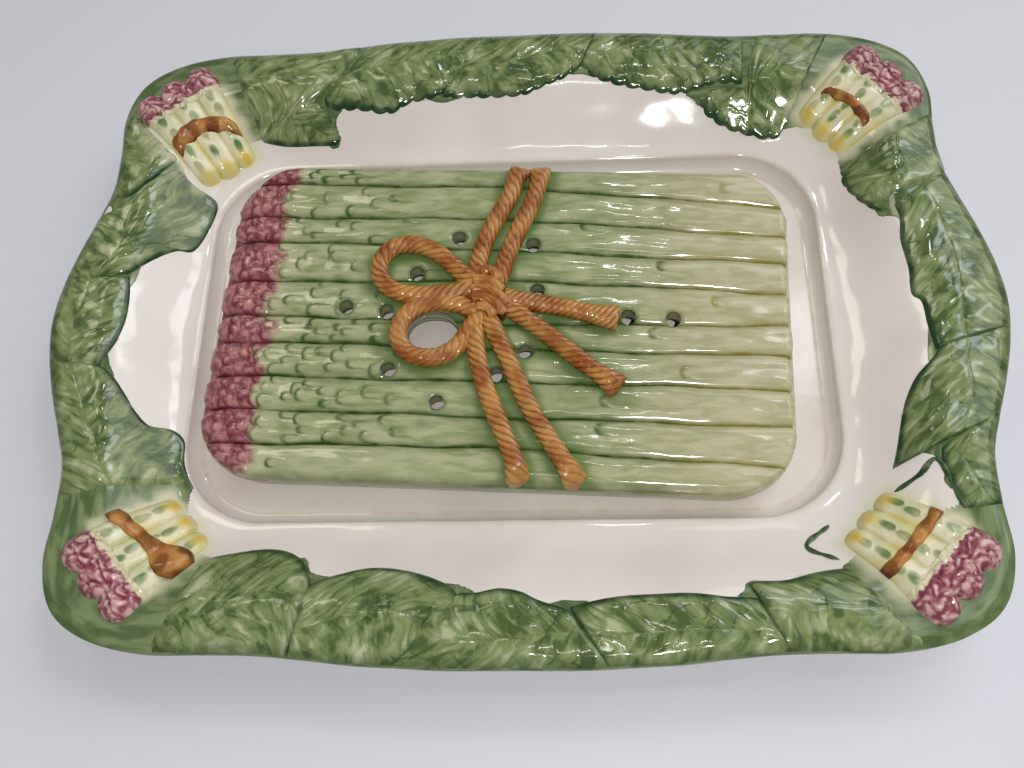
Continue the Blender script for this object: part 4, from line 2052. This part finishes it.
@dataclass
class Studio:
    """Floor, light and camera."""

    eye: tuple[float, float, float] = (25.805, -200.853, 418.605)
    right: tuple[float, float, float] = (0.99773188, 0.00807539, -0.06682724)
    up: tuple[float, float, float] = (0.01912636, 0.91784863, 0.39646951)
    ahead: tuple[float, float, float] = (-0.06453893, 0.39684843, -0.91561239)
    lens: float = 36.5625
    surroundings: Colour = (0.98, 0.96, 0.95)
    surroundings_strength: float = 0.225
    floor_reach: float = 6.0

    def camera(self) -> None:
        """Camera at the photograph's place and angle."""
        data = bpy.data.cameras.new("camera")
        data.lens = self.lens
        data.sensor_width = 36.0
        data.clip_start = 0.01
        made = put("camera", data)
        made.matrix_world = pose(self.right, self.up, -np.array(self.ahead), np.array(self.eye) * MM)
        bpy.context.scene.camera = made

    def floor(self) -> None:
        """Plain pale floor."""
        mesh = bpy.data.meshes.new("floor")
        r = self.floor_reach
        mesh.from_pydata([(-r, -r, 0), (r, -r, 0), (r, r, 0), (-r, r, 0)], [], [(0, 1, 2, 3)])
        made = put("floor", mesh)
        finish = bpy.data.materials.new("pale_floor")
        finish.use_nodes = True
        shader = finish.node_tree.nodes["Principled BSDF"]
        shader.inputs["Base Color"].default_value = srgb(212, 214, 223)
        shader.inputs["Roughness"].default_value = 0.5
        mesh.materials.append(finish)

    def light(self) -> None:
        """Pale surroundings and the lamps."""
        world = bpy.data.worlds.new("pale_room")
        world.use_nodes = True
        back = world.node_tree.nodes["Background"]
        back.inputs[0].default_value = (*self.surroundings, 1.0)
        back.inputs[1].default_value = self.surroundings_strength
        bpy.context.scene.world = world
        for lamp in LAMPS:
            lamp.hang()

    def build(self) -> None:
        """Camera, floor, light and a plain view of the colours."""
        self.camera()
        self.floor()
        self.light()
        bpy.context.scene.view_settings.view_transform = "Standard"


def build_platter() -> None:
    """Builds and dresses the platter: dish, foot, leaves and bundles."""
    cream = CreamGlaze("cream_glaze").material()
    dish = Dish()
    dish.mesh().piece("platter_dish_glazed", "platter", "cream_glaze", ["platter_dish"], cream)
    clay = BareClay("bare_clay", roughness=0.8, bump=0.5).material()
    dish.foot().piece("foot_ring_bare", "platter", "bare_clay", ["foot_ring"], clay)
    green = LeafGlaze("leaf_glaze", peel=0.22).material()
    dish.ridges().piece("leaf_ridges_near_right", "platter", "leaf_glaze", [], green)
    for leaf in LEAVES:
        leaf.mesh().piece(leaf.node + "_glazed", "platter", "leaf_glaze", [leaf.node], green)
    stalk, tip = StalkGlaze("stalk_glaze").material(), TipGlaze("tip_glaze").material()
    rope = RopeGlaze("tie_glaze").material()
    for bundle in BUNDLES:
        for part, slot, finish, mesh in (
            ("stalks", "stalk_glaze", stalk, bundle.stalks()),
            ("tips", "tip_glaze", tip, bundle.tips()),
            ("tie", "rope_glaze", rope, bundle.strap()),
        ):
            node = f"bundle_{part}_{bundle.key}"
            mesh.piece(node + "_glazed", "platter", slot, [node], finish)


def build_drainer() -> None:
    """Builds and dresses the drainer: tray, spears, tips and rope bow."""
    form = DrainerForm()
    glaze = SpearGlaze("drainer_glaze").material()
    rope = RopeGlaze("rope_glaze", peel=0.3).material()
    drainer = Drainer(form)
    bow = RopeBow(drainer)
    meshes = bow.pieces()
    drainer.rope_lines = bow.lines
    tray = drainer.tray().piece("drainer_tray_glazed", "drainer", "drainer_glaze", ["drainer_tray"], glaze)
    drainer.cut_holes(tray)
    drainer.tubes().piece("drain_hole_walls", "drainer", "drainer_glaze", [], glaze)
    for k in range(1, len(form.grooves)):
        for node, slot, from_u, to_u in (
            (f"spear_{k:02d}", "drainer_glaze", form.split, None),
            (f"spear_tip_{k:02d}", "tip_glaze", None, form.split),
        ):
            drainer.lane(k, from_u, to_u).piece(node + "_glazed", "drainer", slot, [node], glaze)
    for node, made in meshes.items():
        made.piece(node + "_glazed", "drainer", "rope_glaze", [node], rope)


def main() -> None:
    """Builds the studio, the shared node groups, the platter and the drainer, and notes the sizes."""
    logging.basicConfig(level=logging.INFO)
    Studio().build()
    glaze_wobble_group()
    brush_stroke_group()
    pooled_glaze_group()
    build_platter()
    build_drainer()
    bpy.context.view_layer.update()


if __name__ == "__main__":
    main()
